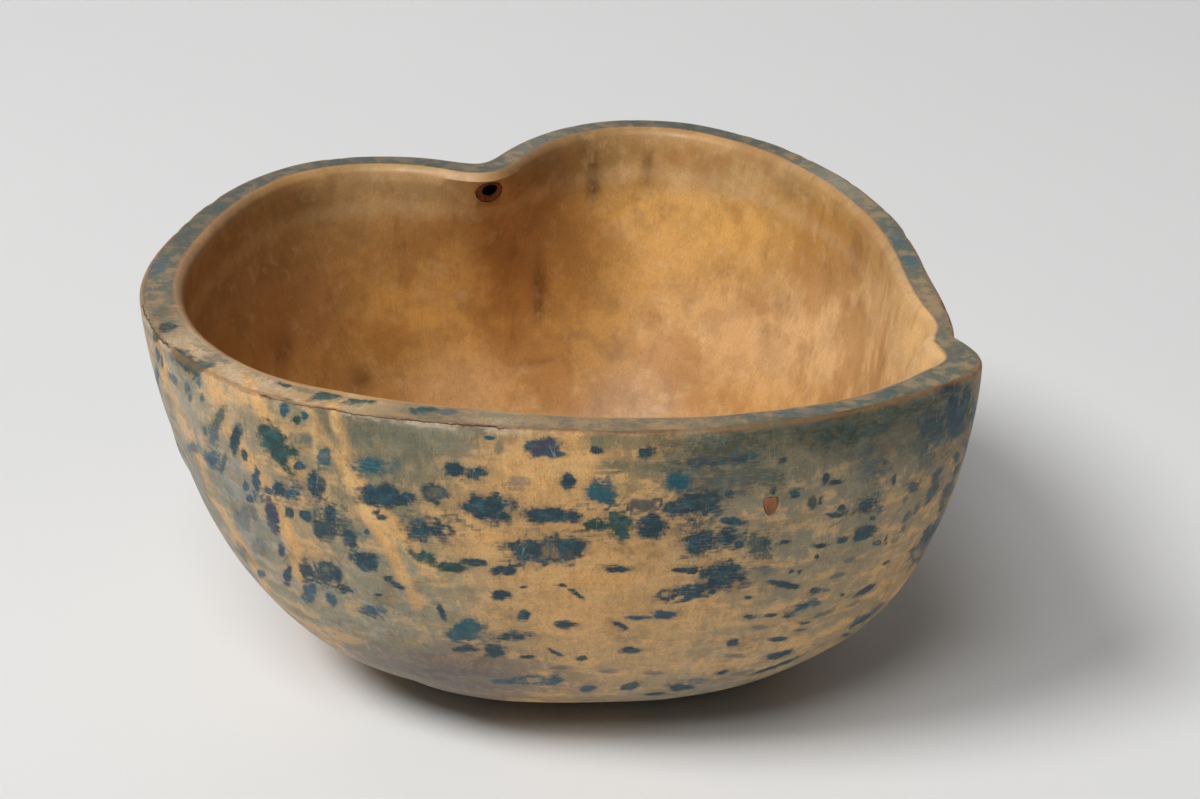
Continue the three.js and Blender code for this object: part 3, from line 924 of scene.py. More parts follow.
# %% Dabs at the right end, by the nose
dab(across=951, down=388, wide=20, tall=13, tone=NAVY)
dab(across=966, down=400, wide=12, tall=23, tone=NAVY)
dab(across=954, down=402, wide=10, tall=15, tone=NAVY)
dab(across=957, down=421, wide=18, tall=30, turn=-20, tone=NAVY)
dab(across=974, down=416, wide=8, tall=25, tone=NAVY)
dab(across=918, down=446, wide=25, tall=17, tone=GREEN, strength=0.45)
dab(across=926, down=463, wide=15, tall=13, tone=GREEN, strength=0.45)
dab(across=873, down=468, wide=33, tall=25, tone=GREEN, ragged=0.8, strength=0.45)
dab(across=883, down=463, wide=7, tall=7, tone=NAVY)
dab(across=966, down=446, wide=7, tall=10, tone=NAVY, strength=0.85, ragged=0.45)
dab(across=956, down=458, wide=8, tall=10, tone=NAVY, strength=0.85, ragged=0.45)
dab(across=961, down=470, wide=7, tall=15, turn=30, tone=NAVY, strength=0.85, ragged=0.45)
dab(across=936, down=476, wide=8, tall=22, turn=20, tone=NAVY, strength=0.85, ragged=0.45)
dab(across=931, down=494, wide=8, tall=30, turn=30, tone=NAVY, strength=0.85, ragged=0.45)
dab(across=949, down=489, wide=11, tall=20, turn=30, tone=NAVY, strength=0.85, ragged=0.45)
dab(across=942, down=505, wide=8, tall=13, tone=NAVY, strength=0.85, ragged=0.45)
dab(across=913, down=486, wide=18, tall=12, turn=-25, tone=NAVY, strength=0.85, ragged=0.45)
dab(across=894, down=480, wide=4, tall=10, tone=NAVY)
dab(across=825, down=479, wide=7, tall=10, tone=NAVY)
dab(across=835, down=482, wide=12, tall=5, tone=NAVY)
dab(across=796, down=493, wide=10, tall=8, tone=NAVY)
dab(across=783, down=461, wide=7, tall=7, tone=NAVY)
dab(across=842, down=508, wide=10, tall=7, tone=NAVY)
dab(across=835, down=515, wide=18, tall=5, tone=NAVY)
dab(across=868, down=504, wide=26, tall=14, turn=-25, tone=NAVY, ragged=0.8)
dab(across=873, down=518, wide=7, tall=5, tone=NAVY)
dab(across=863, down=534, wide=25, tall=14, turn=-20, tone=NAVY)
dab(across=842, down=540, wide=10, tall=7, tone=NAVY)
dab(across=821, down=546, wide=14, tall=5, tone=NAVY)
dab(across=785, down=542, wide=10, tall=4, tone=NAVY)
dab(across=817, down=557, wide=5, tall=5, tone=NAVY)
dab(across=877, down=543, wide=8, tall=6, tone=NAVY, hollow=0.8)
dab(across=886, down=541, wide=3, tall=9, tone=NAVY)
dab(across=886, down=563, wide=8, tall=3, turn=-20, tone=NAVY)
dab(across=905, down=517, wide=3, tall=5, tone=NAVY, strength=0.85, ragged=0.45)
dab(across=928, down=534, wide=10, tall=22, turn=40, tone=NAVY, strength=0.85, ragged=0.45)
dab(across=918, down=554, wide=17, tall=17, turn=40, tone=NAVY, hollow=0.8)
dab(across=790, down=586, wide=21, tall=6, tone=NAVY, ragged=0.4)
dab(across=815, down=591, wide=13, tall=8, tone=NAVY, ragged=0.4)
dab(across=823, down=590, wide=13, tall=3, tone=NAVY, ragged=0.4)
dab(across=863, down=591, wide=26, tall=7, turn=-25, tone=NAVY, ragged=0.4)
dab(across=842, down=595, wide=6, tall=4, tone=NAVY, ragged=0.4)
dab(across=791, down=571, wide=5, tall=4, tone=NAVY)
dab(across=799, down=572, wide=5, tall=4, tone=NAVY)
dab(across=801, down=605, wide=13, tall=3, tone=NAVY, ragged=0.4)
dab(across=787, down=617, wide=8, tall=4, tone=NAVY, ragged=0.4)
dab(across=805, down=623, wide=12, tall=3, tone=NAVY, ragged=0.4)
dab(across=801, down=630, wide=13, tall=3, tone=NAVY, ragged=0.4)
dab(across=863, down=619, wide=26, tall=8, turn=-30, tone=BLUE, ragged=0.4)
dab(across=846, down=635, wide=10, tall=5, tone=BLUE, ragged=0.4)
count_dabs()

# %% Dabs low on the wall, right of the middle
dab(across=619, down=625, wide=17, tall=6, turn=30, tone=NAVY, ragged=0.4)
dab(across=639, down=618, wide=23, tall=4, tone=BLUE, ragged=0.4)
dab(across=666, down=615, wide=26, tall=9, tone=BLUE)
dab(across=687, down=598, wide=26, tall=6, turn=-15, tone=NAVY, ragged=0.4)
dab(across=664, down=599, wide=6, tall=4, tone=NAVY, ragged=0.4)
dab(across=672, down=599, wide=6, tall=4, tone=NAVY, ragged=0.4)
dab(across=700, down=596, wide=16, tall=4, tone=NAVY, ragged=0.4)
dab(across=712, down=592, wide=8, tall=4, tone=NAVY, ragged=0.4)
dab(across=749, down=598, wide=8, tall=5, tone=NAVY, ragged=0.4)
dab(across=749, down=617, wide=10, tall=5, tone=NAVY, ragged=0.4)
dab(across=772, down=615, wide=16, tall=4, tone=NAVY, ragged=0.4)
dab(across=582, down=658, wide=10, tall=6, tone=NAVY, ragged=0.4)
dab(across=733, down=643, wide=13, tall=8, tone=NAVY, ragged=0.4)
dab(across=722, down=673, wide=13, tall=5, turn=-20, tone=NAVY, ragged=0.4)
dab(across=779, down=639, wide=18, tall=6, tone=NAVY, ragged=0.4)
dab(across=779, down=655, wide=30, tall=7, turn=-15, tone=NAVY)
dab(across=777, down=666, wide=60, tall=4, turn=-20, tone=NAVY, ragged=0.4)
dab(across=632, down=686, wide=20, tall=8, turn=-15, tone=NAVY, ragged=0.4)
dab(across=586, down=689, wide=16, tall=8, tone=BLUE, ragged=0.4)
dab(across=679, down=688, wide=27, tall=9, tone=NAVY, ragged=0.4)
dab(across=656, down=694, wide=20, tall=4, tone=NAVY, ragged=0.4)
# Small ones between them
dab(across=345, down=590, wide=18, tall=8, tone=NAVY, ragged=0.4)
dab(across=515, down=545, wide=12, tall=6, tone=NAVY)
dab(across=630, down=650, wide=23, tall=7, tone=NAVY, ragged=0.4)
dab(across=565, down=625, wide=18, tall=7, tone=NAVY, ragged=0.4)
count_dabs()

# %% Dabs on the flat of the rim
dab(across=330, down=394, wide=34, tall=9, turn=-12, tone=GREEN)
dab(across=364, down=400, wide=36, tall=8, turn=-8, tone=GREEN, ragged=0.6)
dab(across=288, down=383, wide=16, tall=7, tone=GREEN)
dab(across=419, down=410, wide=40, tall=7, tone=GREEN, ragged=0.6)
dab(across=446, down=412, wide=24, tall=6, tone=BLUE, strength=0.6)
dab(across=222, down=358, wide=22, tall=9, tone=OLIVE, strength=0.5)
dab(across=163, down=313, wide=18, tall=12, tone=OLIVE, strength=0.45)
dab(across=158, down=264, wide=16, tall=26, tone=BLUE, strength=0.4)
dab(across=912, down=262, wide=16, tall=14, tone=TEAL, strength=0.6)
dab(across=893, down=238, wide=24, tall=22, tone=TEAL, strength=0.45)
dab(across=800, down=411, wide=60, tall=7, tone=BLUE, strength=0.4, ragged=0.7)
dab(across=900, down=391, wide=40, tall=9, tone=NAVY, strength=0.45, ragged=0.7)
dab(across=955, down=352, wide=18, tall=16, tone=NAVY, strength=0.45)
count_dabs()

# %% Smears and larger dabs towards the right
dab(across=721, down=446, wide=92, tall=20, turn=-3, tone=SMEAR, strength=0.75, ragged=1.0)
dab(across=665, down=444, wide=34, tall=10, turn=-8, tone=SMEAR, strength=0.5, ragged=1.0)
dab(across=841, down=435, wide=66, tall=20, turn=-3, tone=SMEAR, strength=0.95, ragged=0.9)
dab(across=800, down=424, wide=110, tall=12, turn=-6, tone=SMEAR, strength=0.6, ragged=1.0)
dab(across=905, down=412, wide=80, tall=16, turn=-10, tone=SMEAR, strength=0.8, ragged=1.0)
dab(across=726, down=461, wide=96, tall=13, turn=-5, tone=NAVY, strength=0.85, ragged=0.8)
dab(across=738, down=478, wide=100, tall=30, tone=HAZE, strength=0.65, ragged=1.0)
dab(across=662, down=468, wide=36, tall=10, tone=FAINT_OLIVE, strength=0.7, ragged=0.6)
dab(across=618, down=466, wide=30, tall=9, tone=FAINT_OLIVE, strength=0.7, ragged=0.6)
dab(across=603, down=441, wide=30, tall=14, tone=FAINT_OLIVE, strength=0.6, ragged=0.6)
dab(across=773, down=478, wide=24, tall=22, tone=FAINT_OLIVE, strength=0.5, ragged=0.9)
dab(across=634, down=487, wide=40, tall=14, tone=FAINT_OLIVE, strength=0.4, ragged=0.9)
dab(across=693, down=504, wide=56, tall=32, turn=-8, tone=NAVY, ragged=0.4)
dab(across=644, down=504, wide=28, tall=12, tone=NAVY, strength=0.85)
dab(across=651, down=526, wide=32, tall=25, tone=NAVY)
dab(across=619, down=524, wide=24, tall=28, tone=GREEN)
dab(across=595, down=525, wide=24, tall=10, tone=GREEN)
dab(across=697, down=543, wide=32, tall=30, tone=NAVY, ragged=0.6)
dab(across=727, down=538, wide=36, tall=18, turn=-10, tone=NAVY, ragged=0.6)
dab(across=733, down=522, wide=24, tall=8, turn=8, tone=NAVY)
dab(across=757, down=545, wide=24, tall=28, tone=NAVY, ragged=0.6, hollow=0.3)
dab(across=722, down=576, wide=52, tall=24, tone=NAVY, ragged=0.4)
dab(across=684, down=570, wide=30, tall=5, tone=NAVY)
dab(across=697, down=590, wide=70, tall=11, turn=-6, tone=NAVY, ragged=0.6)
dab(across=666, down=594, wide=14, tall=12, tone=NAVY, hollow=0.8)
dab(across=782, down=584, wide=28, tall=7, turn=10, tone=NAVY)
dab(across=932, down=430, wide=30, tall=40, turn=8, tone=NAVY, strength=0.85, ragged=0.7)
dab(across=957, down=418, wide=20, tall=26, turn=15, tone=NAVY, strength=0.9)
dab(across=881, down=427, wide=36, tall=15, tone=GREEN, strength=0.6, ragged=0.9)
dab(across=873, down=462, wide=38, tall=28, tone=BLUE, strength=0.4, ragged=1.0)
dab(across=927, down=540, wide=12, tall=56, turn=34, tone=BLUE, strength=0.8)
dab(across=803, down=608, wide=24, tall=8, turn=-25, tone=BLUE, ragged=0.9)
count_dabs()

# %% Smears on the front of the rim, and faint small dabs low on the wall and at the right
dab(across=205, down=345, wide=40, tall=10, turn=35, tone=FAINT_OLIVE, strength=0.5, ragged=0.9)
dab(across=255, down=371, wide=44, tall=9, turn=18, tone=FAINT_OLIVE, strength=0.5, ragged=0.9)
dab(across=170, down=322, wide=26, tall=14, turn=50, tone=FAINT_OLIVE, strength=0.5, ragged=0.9)
dab(across=310, down=389, wide=50, tall=8, turn=12, tone=OLIVE, strength=0.5, ragged=0.9)
dab(across=500, down=415, wide=60, tall=6, tone=FAINT_OLIVE, strength=0.5, ragged=0.9)
dab(across=907, down=517, wide=6, tall=14, turn=30, tone=BLUE, strength=0.6)
dab(across=903, down=529, wide=5, tall=9, tone=BLUE, strength=0.6)
dab(across=880, down=511, wide=7, tall=5, tone=BLUE, strength=0.7)
dab(across=905, down=500, wide=4, tall=9, turn=20, tone=BLUE, strength=0.6)
dab(across=916, down=509, wide=5, tall=12, turn=30, tone=BLUE, strength=0.6)
dab(across=815, down=603, wide=14, tall=5, tone=BLUE, strength=0.7)
dab(across=877, down=607, wide=16, tall=6, turn=-30, tone=BLUE, strength=0.6)
dab(across=763, down=543, wide=14, tall=6, tone=NAVY, strength=0.7)
dab(across=895, down=541, wide=11, tall=5, turn=-25, tone=BLUE, strength=0.5)
dab(across=850, down=560, wide=13, tall=5, turn=-20, tone=BLUE, strength=0.5)
dab(across=838, down=576, wide=15, tall=5, turn=-20, tone=BLUE, strength=0.6)
dab(across=855, down=603, wide=17, tall=5, turn=-25, tone=BLUE, strength=0.6)
dab(across=825, down=613, wide=22, tall=5, turn=-20, tone=BLUE, strength=0.6)
dab(across=760, down=628, wide=16, tall=5, tone=BLUE, strength=0.5)
dab(across=735, down=656, wide=18, tall=5, tone=BLUE, strength=0.5)
dab(across=700, down=680, wide=24, tall=6, tone=BLUE, strength=0.5)
dab(across=742, down=673, wide=24, tall=5, turn=-10, tone=BLUE, strength=0.5)
dab(across=610, down=672, wide=18, tall=6, tone=BLUE, strength=0.5)
dab(across=560, down=668, wide=16, tall=5, tone=BLUE, strength=0.5)
dab(across=655, down=673, wide=18, tall=5, tone=BLUE, strength=0.5)
dab(across=745, down=585, wide=12, tall=5, tone=BLUE, strength=0.5)
dab(across=765, down=570, wide=13, tall=5, tone=BLUE, strength=0.5)
dab(across=768, down=557, wide=12, tall=6, tone=NAVY, strength=0.6)
print("dabs in view:", [len(layer.middles) for layer in layers])

# %% [markdown]
# The camera doesn't see the back, but the real painter went all round. Dabs of the same sizes
# are scattered there from a seeded random draw, on a loose grid of 20 by 12.5 millimetres,
# wherever the skin turns away from the camera.

# %% Dabs out of view
DAB_SPACING = 0.020
DAB_RISE = 0.0125
DAB_SHARE = 0.8
SEEN_LIMIT = 0.12
WORLD_UP = np.array((0.0, 0.0, 1.0))
STEEP_LIMIT = 0.9
BACK_LOWEST = 0.010
BACK_TOP_MARGIN = 0.004
PLACE_JITTER = 0.25
RISE_JITTER = 0.022
RISE_LIMITS = (0.04, 0.975)
BACK_SIZES = (0.0025, 0.008)
SIZE_AT_FOOT = 0.65
SIZE_GAIN = 0.35
BACK_SHAPES = (0.35, 0.8)
BACK_TILT = 0.35
BACK_TONES = (NAVY, NAVY, TEAL, GREEN, BLUE)
BACK_STRENGTHS = (0.6, 0.95)
BACK_RAGGED = (0.2, 0.9)
BACK_HOLLOWS = (0.1, 0.1, 0.7)
towards_camera = np.array(-look)


def skin_near(middle):
    """The point of the skin nearest to a place, and the way that it faces."""
    nearest = np.argmin(((places - middle) ** 2).sum(axis=1))
    return places[nearest], facings[nearest]


def level_frame(facing):
    """The level line across the skin, and the line up it."""
    right = np.cross(WORLD_UP, facing)
    right /= np.linalg.norm(right)
    return right, np.cross(facing, right)


for height in np.arange(BACK_LOWEST, BOWL_HEIGHT - BACK_TOP_MARGIN, DAB_RISE):
    rise = height / BOWL_HEIGHT
    angle = 0.0
    while angle < 2 * math.pi:
        reach = float(outside_ring(angle, rise)[0])
        angle += DAB_SPACING / reach
        turned = angle + random.normal() * PLACE_JITTER * DAB_SPACING / reach
        lifted = np.clip(rise + random.normal() * RISE_JITTER, *RISE_LIMITS)
        size = random.uniform(*BACK_SIZES) * (SIZE_AT_FOOT + SIZE_GAIN * rise)
        shape = random.uniform(*BACK_SHAPES)
        tilt = random.normal() * BACK_TILT
        tone = BACK_TONES[random.integers(len(BACK_TONES))]
        strength = random.uniform(*BACK_STRENGTHS)
        ragged = random.uniform(*BACK_RAGGED)
        hollow = random.choice(BACK_HOLLOWS)
        kept = random.random() < DAB_SHARE
        place, facing = skin_near(round_the_bowl(turned, lifted))
        if kept and facing @ towards_camera < SEEN_LIMIT and abs(facing[2]) < STEEP_LIMIT:
            right, up = level_frame(facing)
            lay_dab(place, facing, right, up, size, size * shape, tilt, tone,
                    (strength, ragged, hollow))
print("dabs in all:", [len(layer.middles) for layer in layers])

# %% [markdown]
# Under the dabs the ground is uneven too. The glaze is grey-olive near the rim, nearly worn
# through to bright ochre in the middle, pale and dusty at the left, and dark by the nose. Such slow
# changes are soft patches: each has a middle, a size and a colour, and every point of the skin
# takes the average of the patches around it. The rim and the inside have patches of their own.

# %% Slow changes of the ground
LEAST_WEIGHT = 1e-6
RIM_BEGINS = -0.02
INSIDE_BEGINS = 1.01
FACING_GAIN = 2
FACING_LOSS = 0.2
ground_sum = np.zeros((len(places), 3))
ground_weight = np.full(len(places), LEAST_WEIGHT)
rim_places = np.empty(len(places))
bowl_wood.data.attributes["rim_place"].data.foreach_get("value", rim_places)
# Zones: 0 is the outside, 1 the flat of the rim and 2 the inside
zones = (rim_places > RIM_BEGINS).astype(int) + (rim_places > INSIDE_BEGINS)


def lay_wash(middle, facing, right, up, half_wide, half_tall, tone, weight):
    """Lay a soft patch of colour on the zone of the skin that its middle lies in."""
    offset = places - middle
    zone = zones == zones[np.argmin((offset**2).sum(axis=1))]
    across = offset @ right / half_wide
    updown = offset @ up / half_tall
    facing_share = np.clip(facings @ facing * FACING_GAIN - FACING_LOSS, 0, 1)
    share = weight * np.exp(-(across**2 + updown**2)) * facing_share
    share *= zone
    ground_sum[:] += share[:, None] * np.array(tone)
    ground_weight[:] += share


def wash(across, down, wide, tall, tone, weight=1.0):
    """Lay a patch where the photograph shows it, with its sizes in pixels."""
    middle, facing, pixel = seen_at(across, down)
    lay_wash(middle, facing, np.array(camera_right), np.array(camera_up), wide / 2 * pixel,
             tall / 2 * pixel, tone, weight)


def rub_along(points, wide=9, tone=BRIGHT_OCHRE, weight=2.2):
    """Rub a narrow line of wood bare, as a chain of small washes between the given points."""
    for (across, down), (next_across, next_down) in zip(points, points[1:]):
        steps = int(math.hypot(next_across - across, next_down - down) / wide * 2) + 1
        for step in range(steps):
            part = step / steps
            wash(across + (next_across - across) * part, down + (next_down - down) * part,
                 wide, wide, tone, weight)


print("points outside, on the rim and inside:", np.bincount(zones))

# %% Ground of the outside
wash(across=590, down=545, wide=260, tall=230, tone=BARE_OCHRE)
wash(across=582, down=463, wide=44, tall=60, tone=BRIGHT_OCHRE, weight=3)
wash(across=516, down=462, wide=70, tall=40, tone=BRIGHT_OCHRE, weight=3)
wash(across=600, down=610, wide=160, tall=120, tone=BRIGHT_OCHRE, weight=1.2)
wash(across=480, down=530, wide=60, tall=60, tone=BRIGHT_OCHRE, weight=1.2)
wash(across=395, down=432, wide=190, tall=46, tone=OLIVE_GLAZE, weight=3)
wash(across=395, down=470, wide=190, tall=110, tone=OLIVE_GLAZE, weight=0.8)
wash(across=450, down=432, wide=70, tall=36, tone=WORN_OLIVE, weight=2)
wash(across=602, down=443, wide=40, tall=18, tone=OLIVE_GLAZE, weight=2)
wash(across=640, down=468, wide=80, tall=14, tone=OLIVE_GLAZE, weight=1.5)
wash(across=190, down=440, wide=90, tall=180, tone=PALE_VEIL, weight=2.5)
wash(across=205, down=490, wide=60, tall=60, tone=WORN_OLIVE, weight=2)
wash(across=240, down=540, wide=90, tall=110, tone=PALE_VEIL)
wash(across=300, down=480, wide=70, tall=120, tone=TAN)
wash(across=400, down=600, wide=170, tall=90, tone=PALE_OLIVE, weight=1.3)
wash(across=460, down=672, wide=170, tall=50, tone=PURPLE_GREY, weight=2.5)
wash(across=600, down=650, wide=190, tall=90, tone=TAN)
wash(across=760, down=650, wide=190, tall=80, tone=TAN, weight=1.2)
wash(across=790, down=540, wide=180, tall=150, tone=TAN_GREY, weight=1.2)
wash(across=780, down=520, wide=120, tall=90, tone=WORN_OLIVE, weight=1.5)
wash(across=725, down=475, wide=130, tall=50, tone=DARK_TEAL, weight=1.5)
wash(across=720, down=440, wide=150, tall=44, tone=OLIVE_GLAZE, weight=2)
wash(across=820, down=436, wide=230, tall=46, tone=DARK_SMEAR, weight=2.5)
wash(across=850, down=440, wide=60, tall=32, tone=DARK_TEAL, weight=2)
wash(across=940, down=430, wide=80, tall=110, tone=DARK_TEAL, weight=1.6)
wash(across=900, down=530, wide=90, tall=110, tone=TAN_GREY)
wash(across=855, down=500, wide=120, tall=90, tone=WORN_OLIVE, weight=1.5)
wash(across=935, down=460, wide=50, tall=40, tone=TAN_GREY, weight=1.5)
wash(across=215, down=405, wide=70, tall=60, tone=TAN, weight=2.5)
print("patches of the outside laid, mean weight:", round(float(ground_weight.mean()), 3))

# %% Folds of the root, rubbed bare, at the left
rub_along([(155, 337), (168, 385), (187, 430), (215, 500), (245, 550), (268, 590)])
rub_along([(210, 370), (220, 405), (227, 430), (257, 470), (285, 520), (305, 585)])
rub_along([(247, 375), (262, 412), (284, 446), (303, 478)])
rub_along([(305, 400), (318, 432), (342, 462), (362, 500), (390, 550), (420, 610)])
rub_along([(332, 402), (340, 430), (352, 470), (378, 505), (408, 542), (432, 575)])
print("folds rubbed, mean weight:", round(float(ground_weight.mean()), 3))

# %% [markdown]
# The flat of the rim is darker than the wall behind and at the right, and rubbed to pink and brown
# in front, where hands take hold of it.

# %% Ground of the rim
wash(across=300, down=166, wide=150, tall=60, tone=RIM_DARK)
wash(across=200, down=222, wide=90, tall=110, tone=RIM_DARK)
wash(across=160, down=275, wide=60, tall=50, tone=RIM_TEAL)
wash(across=163, down=315, wide=50, tall=44, tone=RIM_BROWN, weight=1.6)
wash(across=185, down=350, wide=60, tall=44, tone=RIM_PINK, weight=1.6)
wash(across=240, down=375, wide=90, tall=30, tone=RIM_PINK, weight=1.6)
wash(across=330, down=394, wide=110, tall=30, tone=TAN, weight=1.2)
wash(across=450, down=412, wide=110, tall=30, tone=RIM_BROWN)
wash(across=560, down=423, wide=100, tall=30, tone=RIM_BROWN, weight=1.4)
wash(across=500, down=414, wide=50, tall=20, tone=RIM_PINK, weight=1.2)
wash(across=700, down=423, wide=160, tall=30, tone=RIM_BROWN)
wash(across=765, down=417, wide=80, tall=24, tone=RIM_TEAL, weight=1.2)
wash(across=850, down=403, wide=160, tall=40, tone=RIM_TEAL)
wash(across=950, down=355, wide=70, tall=60, tone=RIM_TEAL)
wash(across=935, down=300, wide=50, tall=60, tone=RIM_BROWN, weight=1.6)
wash(across=870, down=195, wide=140, tall=110, tone=RIM_DARK, weight=2)
wash(across=905, down=245, wide=70, tall=70, tone=RIM_TEAL, weight=2)
wash(across=700, down=128, wide=200, tall=70, tone=RIM_DARK)
wash(across=540, down=150, wide=110, tall=70, tone=RIM_DARK)
wash(across=430, down=163, wide=110, tall=40, tone=RIM_DARK)
print("patches of the rim laid, mean weight:", round(float(ground_weight.mean()), 3))

# %% [markdown]
# The inside is bare wood that oil and use have turned golden, with darker stains below the cleft.
# Some patches paint light and shade into the colour: painted shade on the wall right of the
# cleft's ridge, and painted light on the floor at the left, on the right-hand wall and at the nose.

# %% Ground of the inside
for across, down in ((420, 260), (600, 280), (780, 280), (500, 370), (700, 370)):
    wash(across=across, down=down, wide=230, tall=150, tone=INSIDE_GOLD)
wash(across=215, down=235, wide=90, tall=130, tone=INSIDE_BROWN, weight=2)
wash(across=290, down=215, wide=110, tall=60, tone=INSIDE_OLIVE, weight=1.6)
wash(across=400, down=192, wide=150, tall=40, tone=INSIDE_GREY, weight=2)
wash(across=290, down=290, wide=120, tall=80, tone=INSIDE_BROWN)
# Orange wood, made brighter here as painted light where the lamps light the floor at the left.
wash(across=420, down=310, wide=120, tall=80, tone=INSIDE_ORANGE, weight=1.6)
wash(across=600, down=300, wide=120, tall=90, tone=INSIDE_ORANGE, weight=1.2)
# Painted shade: darker brown on the wall right of the cleft's ridge, where the ridge turns from the
# light.
wash(across=525, down=205, wide=60, tall=110, tone=INSIDE_BROWN, weight=1.6)
wash(across=590, down=160, wide=110, tall=50, tone=INSIDE_OLIVE, weight=1.6)
wash(across=650, down=205, wide=120, tall=50, tone=INSIDE_ORANGE)
wash(across=735, down=178, wide=130, tall=36, tone=INSIDE_GREY, weight=1.6)
wash(across=820, down=200, wide=90, tall=50, tone=INSIDE_OLIVE)
wash(across=885, down=250, wide=60, tall=90, tone=INSIDE_OLIVE, weight=1.8)
wash(across=730, down=235, wide=170, tall=60, tone=INSIDE_ORANGE)
# Pink wood, partly painted light where the lamps light the right-hand inner wall.
wash(across=760, down=335, wide=200, tall=90, tone=INSIDE_PINK, weight=1.8)
wash(across=635, down=393, wide=130, tall=60, tone=INSIDE_BROWN, weight=2)
# Painted highlight: a very pale patch for the light on the right-hand inner wall and the nose.
wash(across=850, down=325, wide=110, tall=90, tone=INSIDE_PAINTED_HIGHLIGHT, weight=3)
wash(across=470, down=380, wide=110, tall=50, tone=INSIDE_PINK, weight=1.2)
# Orange wood, partly a painted highlight on the inside of the nose.
wash(across=920, down=320, wide=50, tall=90, tone=INSIDE_ORANGE, weight=1.5)
wash(across=455, down=172, wide=44, tall=12, tone=INSIDE_PINK, weight=3)
wash(across=490, down=190, wide=46, tall=34, tone=BARK_STAIN_AND_SHADE, weight=2.5)
# Above, bark stain round the knot. These two darken the wall right of the cleft's ridge as painted
# shade.
wash(across=530, down=180, wide=34, tall=50, tone=BARK_STAIN_AND_SHADE, weight=1.5)
wash(across=510, down=245, wide=50, tall=60, tone=BARK_STAIN_AND_SHADE, weight=1.2)
# Painted shade: a dark streak down the cleft's ridge. The streaks after it are marks in the wood.
wash(across=538, down=290, wide=9, tall=40, tone=DARK_STREAK, weight=12)
wash(across=593, down=178, wide=8, tall=26, tone=DARK_STREAK, weight=12)
wash(across=648, down=170, wide=8, tall=18, tone=DARK_STREAK, weight=8)
wash(across=282, down=345, wide=12, tall=26, tone=DARK_STREAK, weight=1.2)
wash(across=362, down=378, wide=18, tall=20, tone=DARK_STREAK, weight=0.8)
wash(across=540, down=362, wide=44, tall=8, tone=DARK_STREAK, weight=2.5)
wash(across=612, down=352, wide=26, tall=9, tone=DARK_STREAK, weight=2.5)
wash(across=235, down=205, wide=60, tall=24, tone=OLD_STAIN, weight=2)
wash(across=300, down=205, wide=46, tall=24, tone=OLD_STAIN, weight=2)
print("patches laid, least weight:", round(float(ground_weight.min()), 6))

# %% [markdown]
# Round the back the slow changes go on in the same tones, on a wide grid of their own with a seeded
# random draw. Where no patch reaches, the skin takes the plain tone of its zone.

# %% Ground out of view
WASH_SPACING = 0.042
WASH_LOWEST = 0.015
WASH_RISE = 0.8 * WASH_SPACING
WASH_RING = 0.13
WASH_JITTER = 0.1
WASH_SIZES = (0.7, 1.1)
WASH_SHAPE = 0.7
WASH_STEEP_LIMIT = 0.95
PLAIN_SHARE = 0.05
BACK_GROUND = (PALE_VEIL, OLIVE_GLAZE, WORN_OLIVE, BARE_OCHRE, TAN_GREY, TAN, DARK_SMEAR,
               BARE_OCHRE)

for height in np.arange(WASH_LOWEST, BOWL_HEIGHT, WASH_RISE):
    for angle in np.arange(0, 2 * math.pi, WASH_SPACING / WASH_RING):
        turned = angle + random.normal() * WASH_JITTER
        size = random.uniform(*WASH_SIZES) * WASH_SPACING
        tone = BACK_GROUND[random.integers(len(BACK_GROUND))]
        place, facing = skin_near(round_the_bowl(turned, height / BOWL_HEIGHT))
        if facing @ towards_camera < SEEN_LIMIT and abs(facing[2]) < WASH_STEEP_LIMIT:
            right, up = level_frame(facing)
            lay_wash(place, facing, right, up, size, size * WASH_SHAPE, tone, 1.0)
plain = np.where((zones == 2)[:, None], INSIDE_GOLD, WORN_OLIVE)
ground = (ground_sum + PLAIN_SHARE * plain) / (ground_weight + PLAIN_SHARE)[:, None]
print("mean ground:", [round(float(v), 3) for v in ground.mean(axis=0)])

# %% [markdown]
# Whatever a material needs at each point of the skin is kept there as an attribute: the frames, kinds
# and colours of the dabs, the ground, the ridges that hands have rubbed pale, and the places along
# the rim where fine cracks have opened.

# %% Keep it all on the skin as attributes
RIDGE_RUB = 0.0011
RUBBED_RIDGES = 2
SPLIT_REACH = 0.011
# Where the cracks show, as points across and down, and their directions at the back, in radians
SPLITS_SEEN = ((286, 403), (312, 405), (338, 407), (370, 411), (405, 416), (440, 420), (479, 424))
BACK_SPLITS = (1.1, 1.25, 1.4, 3.5, 3.62, 5.9)


def keep_vector(name, values):
    attribute = bowl_wood.data.attributes.new(name, "FLOAT_VECTOR", "POINT")
    attribute.data.foreach_set("vector", np.ascontiguousarray(values, dtype=np.float32).ravel())


def keep_colour(name, values):
    rows = np.ones((len(values), 4), dtype=np.float32)
    rows[:, :3] = values[:, :3]
    attribute = bowl_wood.data.attributes.new(name, "FLOAT_COLOR", "POINT")
    attribute.data.foreach_set("color", rows.ravel())


def keep_number(name, values):
    attribute = bowl_wood.data.attributes.new(name, "FLOAT", "POINT")
    attribute.data.foreach_set("value", np.ascontiguousarray(values, dtype=np.float32))


